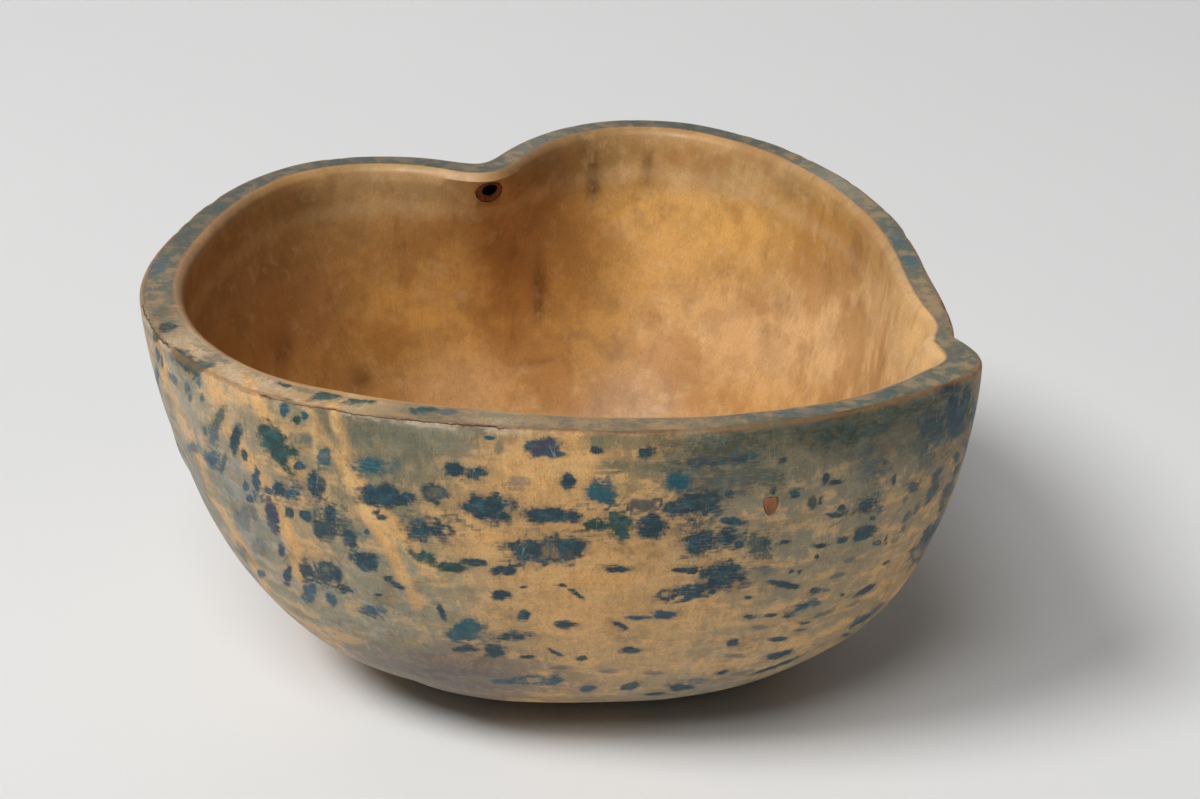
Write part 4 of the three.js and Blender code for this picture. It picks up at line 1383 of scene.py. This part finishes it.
for number, layer in enumerate(layers, start=1):
    keep_vector(f"dab_place_{number}", layer.place)
    keep_vector(f"dab_kind_{number}", layer.kind)
    keep_colour(f"dab_colour_{number}", layer.colour)
keep_colour("ground", ground)
ridge_share = np.zeros(len(places))
for path in ridges[:RUBBED_RIDGES]:
    gap = away_from(path, places, facings)
    ridge_share = np.maximum(ridge_share, np.exp(-((gap / RIDGE_RUB) ** 2)))
keep_number("ridge", ridge_share)
split_middles = [seen_at(across, down)[0] for across, down in SPLITS_SEEN]
for angle in BACK_SPLITS:
    reach = float(outline(angle, 1.0))
    split_middles.append(np.array((FOOT_MIDDLE_X + reach * math.cos(angle),
                                   reach * math.sin(angle), BOWL_HEIGHT)))
split_share = np.zeros(len(places))
for middle in split_middles:
    split_share += np.exp(-(((places - middle) ** 2).sum(axis=1)) / SPLIT_REACH**2)
keep_number("split", np.minimum(split_share, 1))
print("attributes:", [a.name for a in bowl_wood.data.attributes if not a.name.startswith(".")])

# %% [markdown]
# From here on the materials are made of nodes. A small helper adds a node, feeds its sockets with
# numbers or with other nodes, and hands back the result, so that a material reads like a recipe.
# Effects that several materials share are node groups: the wood's figure, a dab's ragged edge,
# fine scratches, and dirt from handling.


# %% A helper for node trees
class Shop:
    """Adds nodes to one tree, wires them up and hands back their results."""

    def __init__(self, tree):
        self.tree = tree

    def add(self, kind, **settings):
        node = self.tree.nodes.new("ShaderNode" + kind)
        for name, value in settings.items():
            setattr(node, name, value)
        return node

    def feed(self, socket, value):
        if isinstance(value, bpy.types.NodeSocket):
            self.tree.links.new(value, socket)
        elif isinstance(value, tuple) and len(value) == 3 and socket.type == "RGBA":
            socket.default_value = (*value, 1.0)
        else:
            socket.default_value = value

    def math(self, operation, first, second=0.0, third=0.0, clamp=False):
        node = self.add("Math", operation=operation, use_clamp=clamp)
        for socket, value in zip(node.inputs, (first, second, third)):
            self.feed(socket, value)
        return node.outputs[0]

    def vector(self, operation, first, second):
        node = self.add("VectorMath", operation=operation)
        self.feed(node.inputs[0], first)
        self.feed(node.inputs[1], second)
        return node.outputs["Value" if operation in ("LENGTH", "DOT_PRODUCT") else "Vector"]

    def scaled(self, value, amount):
        node = self.add("VectorMath", operation="SCALE")
        self.feed(node.inputs[0], value)
        self.feed(node.inputs["Scale"], amount)
        return node.outputs["Vector"]

    def mix(self, share, first, second, blend="MIX"):
        # Of a Mix node's many sockets, 6 and 7 take the two colours, and output 2 is the mixed one
        node = self.add("Mix", data_type="RGBA", blend_type=blend)
        self.feed(node.inputs[0], share)
        self.feed(node.inputs[6], first)
        self.feed(node.inputs[7], second)
        return node.outputs[2]

    def step(self, value, low, high, to_low=0.0, to_high=1.0):
        node = self.add("MapRange", interpolation_type="SMOOTHSTEP")
        for socket, number in zip(node.inputs, (value, low, high, to_low, to_high)):
            self.feed(socket, number)
        return node.outputs[0]

    def noise(self, where, scale, detail=3.0, roughness=0.55, output="Fac"):
        node = self.add("TexNoise")
        self.feed(node.inputs["Vector"], where)
        self.feed(node.inputs["Scale"], scale)
        self.feed(node.inputs["Detail"], detail)
        self.feed(node.inputs["Roughness"], roughness)
        return node.outputs[output]

    def stretch(self, where, scale, turn=(0.0, 0.0, 0.0), shift=(0.0, 0.0, 0.0)):
        node = self.add("Mapping")
        self.feed(node.inputs["Vector"], where)
        node.inputs["Scale"].default_value = scale
        node.inputs["Rotation"].default_value = turn
        node.inputs["Location"].default_value = shift
        return node.outputs["Vector"]

    def attribute(self, name, output):
        return self.add("Attribute", attribute_name=name).outputs[output]

    def group(self, tree, **values):
        node = self.add("Group", node_tree=tree)
        for name, value in values.items():
            self.feed(node.inputs[name.replace("_", " ").capitalize()], value)
        return node.outputs


def new_group(name, inputs, outputs):
    """A new node group with its helper, its given values and its results."""
    tree = bpy.data.node_groups.new(name, "ShaderNodeTree")
    for label, kind in inputs:
        tree.interface.new_socket(label, in_out="INPUT", socket_type="NodeSocket" + kind)
    for label, kind in outputs:
        tree.interface.new_socket(label, in_out="OUTPUT", socket_type="NodeSocket" + kind)
    shop = Shop(tree)
    given = tree.nodes.new("NodeGroupInput").outputs
    result = tree.nodes.new("NodeGroupOutput").inputs
    return shop, given, result


def new_material(name):
    """A new material with its helper and the sockets of its shader."""
    material = bpy.data.materials.new(name)
    material.use_nodes = True
    shop = Shop(material.node_tree)
    return material, shop, material.node_tree.nodes["Principled BSDF"].inputs


def relief(shop, surface, height, strength, distance):
    """Shade the surface as if a height of one rose from it by the given distance."""
    bump = shop.add("Bump")
    bump.inputs["Strength"].default_value = strength
    bump.inputs["Distance"].default_value = distance
    shop.feed(bump.inputs["Height"], height)
    shop.feed(surface["Normal"], bump.outputs["Normal"])


AS_IT_IS = (1.0, 1.0, 1.0)
ORIGIN = (0.0, 0.0, 0.0)
FLAT = (1.0, 1.0, 0.0)
MIDDLE_GREY = (0.5, 0.5, 0.5)
BRIGHTNESS = (0.3, 0.6, 0.1)
print("helper ready")

# %% [markdown]
# The wood's figure is the same in all pieces: fine fibres that run upright, a mottle from the burl's
# swirled grain, slow clouds, dark pores and a last fine grain. The fibres are noise that is
# stretched along the trunk, and a second noise bends them, because burl never grows straight.

# %% Wood figure
FIBRE_SCALE = 780.0
MOTTLE_SCALE = 150.0
CLOUD_SCALE = 30.0
GRAIN_SCALE = 1250.0

shop, given, result = new_group("wood figure", [("Where", "Vector")], [
    ("Fibre", "Float"), ("Mottle", "Float"), ("Cloud", "Float"), ("Pore", "Float"),
    ("Grain", "Float")])
warped = shop.noise(given["Where"], scale=24.0, detail=2.0, output="Color")
bent = shop.vector("ADD", given["Where"], shop.scaled(warped, 0.006))
shop.feed(result["Fibre"], shop.noise(shop.stretch(bent, scale=(1.0, 1.0, 0.07)), scale=FIBRE_SCALE,
                                      detail=4.0, roughness=0.6))
shop.feed(result["Mottle"], shop.noise(bent, scale=MOTTLE_SCALE, detail=6.0, roughness=0.62))
shop.feed(result["Cloud"], shop.noise(bent, scale=CLOUD_SCALE, detail=4.0, roughness=0.55))
pores = shop.noise(shop.stretch(bent, scale=(1.0, 1.0, 0.3)), scale=1500.0, detail=2.0,
                   roughness=0.5)
shop.feed(result["Pore"], shop.step(pores, low=0.36, high=0.27))
shop.feed(result["Grain"], shop.noise(bent, scale=GRAIN_SCALE, detail=3.0, roughness=0.7))
wood_figure = shop.tree
print("wood figure has", len(shop.tree.nodes), "nodes")

# %% [markdown]
# A dab's edge is drawn from the point's distance in the dab's own frame. Slow and fine noise push
# that distance to and fro, more so for a ragged dab, so that no edge is a clean ellipse. Paint that
# dries is darkest along its edge, and a faint halo of thin paint lies round it.

# %% Dab edge
shop, given, result = new_group("dab edge", [
    ("Place", "Vector"), ("Kind", "Vector"), ("Where", "Vector")],
    [("Mask", "Float"), ("Dried edge", "Float"), ("Halo", "Float")])
kind = shop.add("SeparateXYZ")
shop.feed(kind.inputs[0], given["Kind"])
strength, ragged, hollow = kind.outputs
far = shop.add("SeparateXYZ")
shop.feed(far.inputs[0], given["Place"])
flat = shop.vector("MULTIPLY", given["Place"], FLAT)
wobble = shop.noise(given["Where"], scale=330.0, detail=3.0, roughness=0.6, output="Color")
wobble = shop.vector("SUBTRACT", wobble, MIDDLE_GREY)
wobble = shop.scaled(wobble, shop.math("MULTIPLY_ADD", ragged, 1.8, 0.8))
bend = shop.noise(given["Where"], scale=130.0, detail=2.0, roughness=0.5, output="Color")
bend = shop.scaled(shop.vector("SUBTRACT", bend, MIDDLE_GREY), 1.5)
wobble = shop.vector("ADD", wobble, bend)
wobble = shop.vector("MULTIPLY", wobble, FLAT)
reach = shop.vector("LENGTH", shop.vector("ADD", flat, wobble), ORIGIN)
reach = shop.math("MAXIMUM", reach, shop.math("MULTIPLY", far.outputs[2], 0.72))
crumbs = shop.noise(given["Where"], scale=1000.0, detail=4.0, roughness=0.7)
feather = shop.noise(shop.stretch(given["Where"], scale=(1.0, 1.0, 5.0)), scale=260.0, detail=4.0,
                     roughness=0.6)
reach = shop.math("MULTIPLY_ADD", shop.math("SUBTRACT", crumbs, 0.5), 0.55, reach)
torn = shop.math("MULTIPLY_ADD", ragged, 1.1, 0.35)
reach = shop.math("MULTIPLY_ADD", shop.math("SUBTRACT", feather, 0.5), torn, reach)
faded = shop.math("MULTIPLY_ADD", ragged, 0.22, 1.16)
solid = shop.math("MULTIPLY_ADD", ragged, -0.50, 0.78)
body = shop.step(reach, low=faded, high=solid)
centre = shop.step(reach, low=0.75, high=0.3)
kept = shop.math("SUBTRACT", 1.0, shop.math("MULTIPLY", centre, hollow))
streaks = shop.step(feather, low=0.50, high=0.64)
thin = shop.math("MULTIPLY", streaks, shop.math("MULTIPLY", ragged, 0.35))
kept = shop.math("MULTIPLY", kept, shop.math("SUBTRACT", 1.0, thin))
mask = shop.math("MULTIPLY", shop.math("MULTIPLY", body, kept), strength)
shop.feed(result["Mask"], mask)
shop.feed(result["Dried edge"], shop.math("MULTIPLY", shop.step(reach, low=0.45, high=0.92), mask))
halo = shop.math("MULTIPLY", shop.step(reach, low=1.9, high=0.9), strength)
shop.feed(result["Halo"],
          shop.math("MULTIPLY", halo,
                    shop.step(crumbs, low=0.35, high=0.6, to_low=0.4, to_high=1.0)))
dab_edge = shop.tree
print("dab edge has", len(shop.tree.nodes), "nodes")

# %% [markdown]
# Fine scratches are the thin lines where a long stretched noise crosses its middle value. They
# show in some places only, and a material may use the group twice, turned two ways.

# %% Fine scratches
shop, given, result = new_group("fine scratches", [
    ("Where", "Vector"), ("Turn", "Vector"), ("Width", "Float")], [("Mask", "Float")])
turn = shop.add("Mapping")
shop.feed(turn.inputs["Vector"], given["Where"])
shop.feed(turn.inputs["Rotation"], given["Turn"])
turn.inputs["Scale"].default_value = (1.0, 1.0, 0.06)
lines = shop.noise(turn.outputs["Vector"], scale=260.0, detail=1.0, roughness=0.5)
gap = shop.math("ABSOLUTE", shop.math("SUBTRACT", lines, 0.5))
line = shop.step(gap, low=given["Width"], high=0.0)
places_only = shop.step(shop.noise(given["Where"], scale=55.0, detail=2.0), low=0.52, high=0.66)
shop.feed(result["Mask"], shop.math("MULTIPLY", line, places_only))
fine_scratches = shop.tree
print("fine scratches has", len(shop.tree.nodes), "nodes")

# %% [markdown]
# Dirt from handling gathers in slow stains, which the mottle of the wood breaks up.

# %% Dirt from handling
shop, given, result = new_group("handling dirt", [
    ("Where", "Vector"), ("Mottle", "Float"), ("Amount", "Float")], [("Mask", "Float")])
stains = shop.noise(shop.stretch(given["Where"], scale=AS_IT_IS, shift=(0.3, 0.1, 0.7)), scale=48.0,
                    detail=5.0, roughness=0.6)
grime = shop.math("MULTIPLY", shop.step(stains, low=0.5, high=0.72),
                  shop.step(given["Mottle"], low=0.35, high=0.6))
shop.feed(result["Mask"], shop.math("MULTIPLY", grime, given["Amount"]))
handling_dirt = shop.tree
print("groups:", [g.name for g in bpy.data.node_groups])

# %% [markdown]
# Both materials of the skin lay the two layers of dabs over their own ground in the same way, so one
# function does it. It hands back the colour and the paint's thickness, for gloss and relief.

# %% Dabs in a material
OLD_GLAZE = chart(112, 112, 86)
THIN_PAINT = chart(42, 104, 112)


def lay_paint(shop, where, colour):
    """Lay both layers of dabs over a colour."""
    thinned = shop.step(shop.noise(where, scale=260.0, detail=5.0, roughness=0.68), low=0.46,
                        high=0.64, to_high=0.5)
    thickness = 0.0
    for number in (1, 2):
        paint = shop.group(dab_edge, Place=shop.attribute(f"dab_place_{number}", "Vector"),
                           Kind=shop.attribute(f"dab_kind_{number}", "Vector"), Where=where)
        dab_colour = shop.attribute(f"dab_colour_{number}", "Color")
        dab_colour = shop.mix(thinned, dab_colour, THIN_PAINT)
        dark = shop.math("MULTIPLY_ADD", paint["Dried edge"], -0.10, 1.0)
        colour = shop.mix(shop.math("MULTIPLY", paint["Halo"], 0.25), colour, OLD_GLAZE)
        colour = shop.mix(paint["Mask"], colour, shop.scaled(dab_colour, dark))
        thickness = shop.math("ADD", paint["Mask"], thickness)
    return colour, thickness


print("paint recipe ready")

# %% [markdown]
# The painted outside is old oiled wood with a thin, worn glaze. The ground colour comes from the
# patches, the fibre makes it streaky, and where the wear has gone through, the bright wood shows.
# The dabs lie on top: navy with teal where the paint is thin, darker at their dried edges.

# %% Painted outside
BRIGHT_WOOD = chart(228, 180, 118)
RIDGE_LIGHT = chart(236, 200, 134)
GREY_VEIL = chart(134, 129, 104)
CRACK_BROWN = chart(52, 36, 24)
PALE_WORN = chart(200, 188, 164)
LINE_ORANGE = chart(132, 86, 46)
GRIME = chart(70, 58, 40)

painted_wood, shop, surface = new_material("painted_wood")
where = shop.add("TexCoord").outputs["Object"]
figure = shop.group(wood_figure, Where=where)
ground_colour = shop.attribute("ground", "Color")
strokes = shop.noise(shop.stretch(where, scale=(1.0, 1.0, 0.5), turn=(0.5, 0.3, 0.0)), scale=300.0,
                     detail=5.0, roughness=0.6)
fibre_light = shop.math("MULTIPLY_ADD", figure["Fibre"], 0.3, shop.math("MULTIPLY", strokes, 0.7))
colour = shop.scaled(ground_colour,
                     shop.step(fibre_light, low=0.3, high=0.7, to_low=0.84, to_high=1.14))
patches = shop.noise(shop.stretch(where, scale=(1.0, 1.0, 2.4), turn=(0.1, 0.25, 0.0)), scale=58.0,
                     detail=8.0, roughness=0.62)
rub = shop.math("MULTIPLY_ADD", figure["Mottle"], 0.28, shop.math("MULTIPLY", patches, 0.5))
rub = shop.math("MULTIPLY_ADD", strokes, 0.22, rub)
parts = shop.add("SeparateColor")
shop.feed(parts.inputs[0], ground_colour)
bareness = shop.math("DIVIDE", shop.math("SUBTRACT", parts.outputs[0], parts.outputs[2]),
                     parts.outputs[0])
glaze_left = shop.step(shop.vector("DOT_PRODUCT", ground_colour, BRIGHTNESS), low=0.08, high=0.30)
glaze_left = shop.math("MULTIPLY", glaze_left,
                       shop.step(bareness, low=0.1, high=0.65, to_low=0.35, to_high=1.0))
worn = shop.math("MULTIPLY", shop.step(rub, low=0.475, high=0.555, to_high=0.75),
                 glaze_left)
colour = shop.mix(worn, colour, BRIGHT_WOOD)
veil = shop.noise(shop.stretch(where, scale=(1.0, 1.0, 3.4)), scale=44.0, detail=9.0,
                  roughness=0.68)
veil = shop.math("MULTIPLY", shop.step(veil, low=0.47, high=0.58, to_high=0.6),
                 shop.step(bareness, low=0.85, high=0.5, to_low=0.25, to_high=1.0))
colour = shop.mix(veil, colour, GREY_VEIL)
dirt = shop.group(handling_dirt, Where=where, Mottle=figure["Mottle"], Amount=0.45)
colour = shop.mix(dirt["Mask"], colour, GRIME)
colour = shop.mix(shop.math("MULTIPLY", figure["Pore"], 0.35), colour, GRIME)
ridge = shop.math("MULTIPLY", shop.attribute("ridge", "Fac"),
                  shop.step(figure["Mottle"], low=0.38, high=0.60))
colour = shop.mix(shop.math("MULTIPLY", ridge, 0.8), colour, RIDGE_LIGHT)

colour, thickness = lay_paint(shop, where, colour)
colour = shop.mix(shop.math("MULTIPLY", ridge, 0.45), colour, RIDGE_LIGHT)
colour = shop.scaled(colour,
                     shop.step(figure["Grain"], low=0.3, high=0.7, to_low=0.86, to_high=1.12))

rim_place = shop.attribute("rim_place", "Fac")
edge_noise = shop.math("SUBTRACT", shop.noise(where, scale=190.0, detail=4.0, roughness=0.6), 0.5)
near_rim = shop.math("MULTIPLY_ADD", edge_noise, 0.5, rim_place)
band = shop.math("MULTIPLY", shop.step(near_rim, low=-0.60, high=-0.20),
                 shop.step(patches, low=0.42, high=0.56))
split_share = shop.attribute("split", "Fac")
band = shop.math("MULTIPLY", band, shop.math("MULTIPLY_ADD", split_share, 0.6, 0.12))
colour = shop.mix(band, colour, PALE_WORN)
orange = shop.step(near_rim, low=-0.24, high=-0.04)
colour = shop.mix(shop.math("MULTIPLY", orange, 0.6), colour, LINE_ORANGE)
split = shop.math("ABSOLUTE",
                  shop.math("MULTIPLY_ADD", edge_noise, 0.22, shop.math("ADD", rim_place, 0.07)))
split = shop.math("MULTIPLY", shop.step(split, low=0.035, high=0.012),
                  shop.step(split_share, low=0.25, high=0.6))
colour = shop.mix(shop.math("MULTIPLY", split, 0.9), colour, CRACK_BROWN)

scratch = shop.group(fine_scratches, Where=where, Turn=(0.5, 0.35, 0.0), Width=0.006)
scratch_more = shop.group(fine_scratches, Where=where, Turn=(-0.2, 0.1, 0.6), Width=0.005)
scratches = shop.math("MAXIMUM", scratch["Mask"], scratch_more["Mask"])
colour = shop.mix(shop.math("MULTIPLY", scratches, 0.4), colour, PALE_WORN)
shop.feed(surface["Base Color"], colour)
rough = shop.step(figure["Mottle"], low=0.3, high=0.7, to_low=0.42, to_high=0.62)
shop.feed(surface["Roughness"], shop.math("MULTIPLY_ADD", thickness, -0.06, rough))
surface["Specular IOR Level"].default_value = 0.35
height = shop.math("MULTIPLY", figure["Fibre"], 0.5)
height = shop.math("MULTIPLY_ADD", figure["Mottle"], 0.6, height)
height = shop.math("MULTIPLY_ADD", thickness, 0.12, height)
height = shop.math("MULTIPLY_ADD", scratches, -0.25, height)
height = shop.math("MULTIPLY_ADD", figure["Pore"], -0.3, height)
relief(shop, surface, height, strength=0.6, distance=0.0005)
print("painted wood has", len(shop.tree.nodes), "nodes")

# %% [markdown]
# The flat of the rim carries the same glaze, rubbed by hands, and it ends in a ragged line at the
# inner edge. Beyond it the wood is bare: golden, mottled and satin from oil and use. One material
# holds both, because the line between them wanders and can't follow the faces.

# %% Rim and bare inside
DEEP_GOLD = chart(170, 118, 62)
PALE_GOLD = chart(218, 184, 138)
STAIN_BROWN = chart(96, 66, 40)
RUBBED_WOOD = chart(176, 142, 98)

rim_wood, shop, surface = new_material("rim_and_inside")
where = shop.add("TexCoord").outputs["Object"]
figure = shop.group(wood_figure, Where=where)
ground_colour = shop.attribute("ground", "Color")
rim_place = shop.attribute("rim_place", "Fac")
edge_noise = shop.math("SUBTRACT", shop.noise(where, scale=130.0, detail=5.0, roughness=0.62), 0.5)
wander = shop.math("MULTIPLY_ADD", edge_noise, 0.55, rim_place)
on_rim = shop.step(wander, low=0.98, high=0.86)
swirl = shop.noise(shop.stretch(where, scale=(1.0, 1.0, 1.2), turn=(0.0, 0.3, 0.0)), scale=62.0,
                   detail=7.0, roughness=0.64)
gold = shop.mix(shop.step(swirl, low=0.40, high=0.60), shop.scaled(ground_colour, 0.82),
                ground_colour)
gold = shop.mix(shop.step(figure["Mottle"], low=0.5, high=0.72, to_high=0.4), gold,
                PALE_GOLD)
gold = shop.mix(shop.step(figure["Cloud"], low=0.50, high=0.62, to_high=0.5), gold,
                DEEP_GOLD)
gold = shop.mix(shop.step(figure["Fibre"], low=0.42, high=0.7, to_high=0.18), gold,
                DEEP_GOLD)
edge_light = shop.math("MULTIPLY", shop.step(rim_place, low=0.9, high=1.1),
                       shop.step(rim_place, low=2.2, high=1.5))
gold = shop.mix(shop.math("MULTIPLY", edge_light, 0.08), gold, PALE_GOLD)
ring_depth = shop.math("MULTIPLY_ADD", edge_noise, 0.9, rim_place)
ring = shop.math("MULTIPLY", shop.step(ring_depth, low=2.5, high=3.1),
                 shop.step(ring_depth, low=3.8, high=3.2))
gold = shop.mix(shop.math("MULTIPLY", ring, 0.25), gold, PALE_GOLD)
bevel = shop.math("MULTIPLY", shop.step(rim_place, low=0.95, high=1.1),
                  shop.step(rim_place, low=1.9, high=1.4))
gold = shop.mix(shop.math("MULTIPLY", bevel, 0.22), gold, DEEP_GOLD)
streaks = shop.noise(shop.stretch(where, scale=(1.0, 1.0, 0.3)), scale=130.0, detail=4.0,
                     roughness=0.6)
gold = shop.mix(shop.step(streaks, low=0.56, high=0.70, to_high=0.2), gold, STAIN_BROWN)
dirt = shop.group(handling_dirt, Where=where, Mottle=figure["Mottle"], Amount=0.3)
gold = shop.mix(dirt["Mask"], gold, STAIN_BROWN)

paint = shop.scaled(ground_colour,
                    shop.step(figure["Fibre"], low=0.25, high=0.75, to_low=0.75, to_high=1.2))
rubbed = shop.math("MULTIPLY_ADD", swirl, 0.35, shop.math("MULTIPLY", figure["Mottle"], 0.65))
rubbed = shop.step(rubbed, low=0.46, high=0.58, to_high=0.6)
worn_more = shop.step(shop.vector("DOT_PRODUCT", ground_colour, BRIGHTNESS), low=0.05, high=0.10,
                      to_low=0.45, to_high=1.0)
rubbed = shop.math("MULTIPLY", rubbed, worn_more)
paint = shop.mix(rubbed, paint, RUBBED_WOOD)
paint, thickness = lay_paint(shop, where, paint)
outer_edge = shop.step(shop.math("MULTIPLY_ADD", edge_noise, 0.5, rim_place), low=0.10, high=-0.06)
paint = shop.mix(shop.math("MULTIPLY", outer_edge, 0.65), paint, LINE_ORANGE)
colour = shop.mix(on_rim, gold, paint)
colour = shop.scaled(colour,
                     shop.step(figure["Grain"], low=0.3, high=0.7, to_low=0.9, to_high=1.08))
scratch = shop.group(fine_scratches, Where=where, Turn=(1.2, 0.3, 0.2), Width=0.006)
colour = shop.mix(shop.math("MULTIPLY", scratch["Mask"], 0.3), colour, PALE_GOLD)
shop.feed(surface["Base Color"], colour)
shop.feed(surface["Roughness"],
          shop.step(figure["Mottle"], low=0.3, high=0.7, to_low=0.38, to_high=0.56))
surface["Specular IOR Level"].default_value = 0.4
height = shop.math("MULTIPLY", figure["Fibre"], 0.3)
height = shop.math("MULTIPLY_ADD", swirl, 0.6, height)
height = shop.math("MULTIPLY_ADD", scratch["Mask"], -0.2, height)
relief(shop, surface, height, strength=0.5, distance=0.0005)
print("rim and inside has", len(shop.tree.nodes), "nodes")

# %% [markdown]
# The knots. The hollow one is bark-lined, with a red-brown ring, and its pit is painted black as
# shade; the one in front is a red-brown plug with a dark joint. Both take their colour from the
# distance to their own middle, which is the imported node's box.

# %% Knot wood
PIT_SHADE_BLACK = chart(18, 12, 9)
KNOT_RED = chart(116, 62, 34)
PLUG_RED = chart(176, 108, 60)
PLUG_BROWN = chart(150, 92, 54)
KNOT_BROWN = chart(72, 42, 26)
KNOT_GREY = chart(110, 98, 86)
KNOT_JITTER = 0.0016
HEART_FADE = 0.7
JOINT_FADE = 0.86


def knot_material(name, node, heart, ring, heart_size, joint_size):
    """Knot wood: a heart, a ring round it, and a dark joint from a given distance on."""
    material, shop, surface = new_material(name)
    where = shop.add("TexCoord").outputs["Object"]
    figure = shop.group(wood_figure, Where=where)
    low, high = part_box(node)
    middle = (low + high) / 2
    away = shop.vector("LENGTH", shop.vector("SUBTRACT", where, tuple(middle)), ORIGIN)
    jitter = shop.math("SUBTRACT", shop.noise(where, scale=700.0, detail=4.0, roughness=0.6), 0.5)
    away = shop.math("MULTIPLY_ADD", jitter, KNOT_JITTER, away)
    colour = shop.mix(shop.step(away, low=heart_size * HEART_FADE, high=heart_size), heart, ring)
    colour = shop.mix(shop.step(figure["Mottle"], low=0.5, high=0.7, to_high=0.5),
                      colour, KNOT_BROWN)
    colour = shop.mix(shop.step(shop.noise(where, scale=900.0, detail=3.0), low=0.62, high=0.72,
                                to_high=0.5), colour, KNOT_GREY)
    colour = shop.mix(shop.step(away, low=joint_size * JOINT_FADE, high=joint_size), colour,
                      CRACK_BROWN)
    shop.feed(surface["Base Color"], colour)
    shop.feed(surface["Roughness"],
              shop.step(figure["Mottle"], low=0.3, high=0.7, to_low=0.45, to_high=0.75))
    relief(shop, surface, shop.noise(where, scale=1100.0, detail=4.0, roughness=0.65), strength=0.7,
           distance=0.0003)
    return material


# The hollow knot's heart is painted black, as painted shade in its pit.
hollow_knot.data.materials.append(
    knot_material("dead_knot", "cleft_knot", PIT_SHADE_BLACK, KNOT_RED, heart_size=0.0042,
                  joint_size=0.0068))
shield_knot.data.materials.append(
    knot_material("red_knot", "pin_knot", PLUG_RED, PLUG_BROWN, heart_size=0.003,
                  joint_size=0.0062))
print("knot materials ready")

# %% [markdown]
# The card under the bowl is matt and nearly white, with the faintest unevenness, so that it stays
# plain without being one dead tone.

# %% Card
CARD_WHITE = chart(230, 230, 229)
CARD_SHADE = chart(226, 226, 226)

card, shop, surface = new_material("pale_card")
where = shop.add("TexCoord").outputs["Object"]
shop.feed(surface["Base Color"],
          shop.mix(shop.noise(where, scale=3.0, detail=3.0), CARD_WHITE, CARD_SHADE))
shop.feed(surface["Roughness"], shop.step(shop.noise(where, scale=40.0, detail=3.0), low=0.3,
                                          high=0.7, to_low=0.78, to_high=0.86))
floor.data.materials.append(card)
print("card has", len(shop.tree.nodes), "nodes")

# %% [markdown]
# The skin's faces outside take the painted wood, and those from the rim inwards take the other
# material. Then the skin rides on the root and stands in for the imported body.

# %% Give the skin its materials
bowl_wood.data.materials.clear()
bowl_wood.data.materials.append(painted_wood)
bowl_wood.data.materials.append(rim_wood)
for face in bowl_wood.data.polygons:
    face.material_index = int(np.mean([rim_places[i] for i in face.vertices]) > 0)
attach(bowl_wood, "root")
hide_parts("bowl_body")
print("materials of the skin:", [m.name for m in bowl_wood.data.materials])
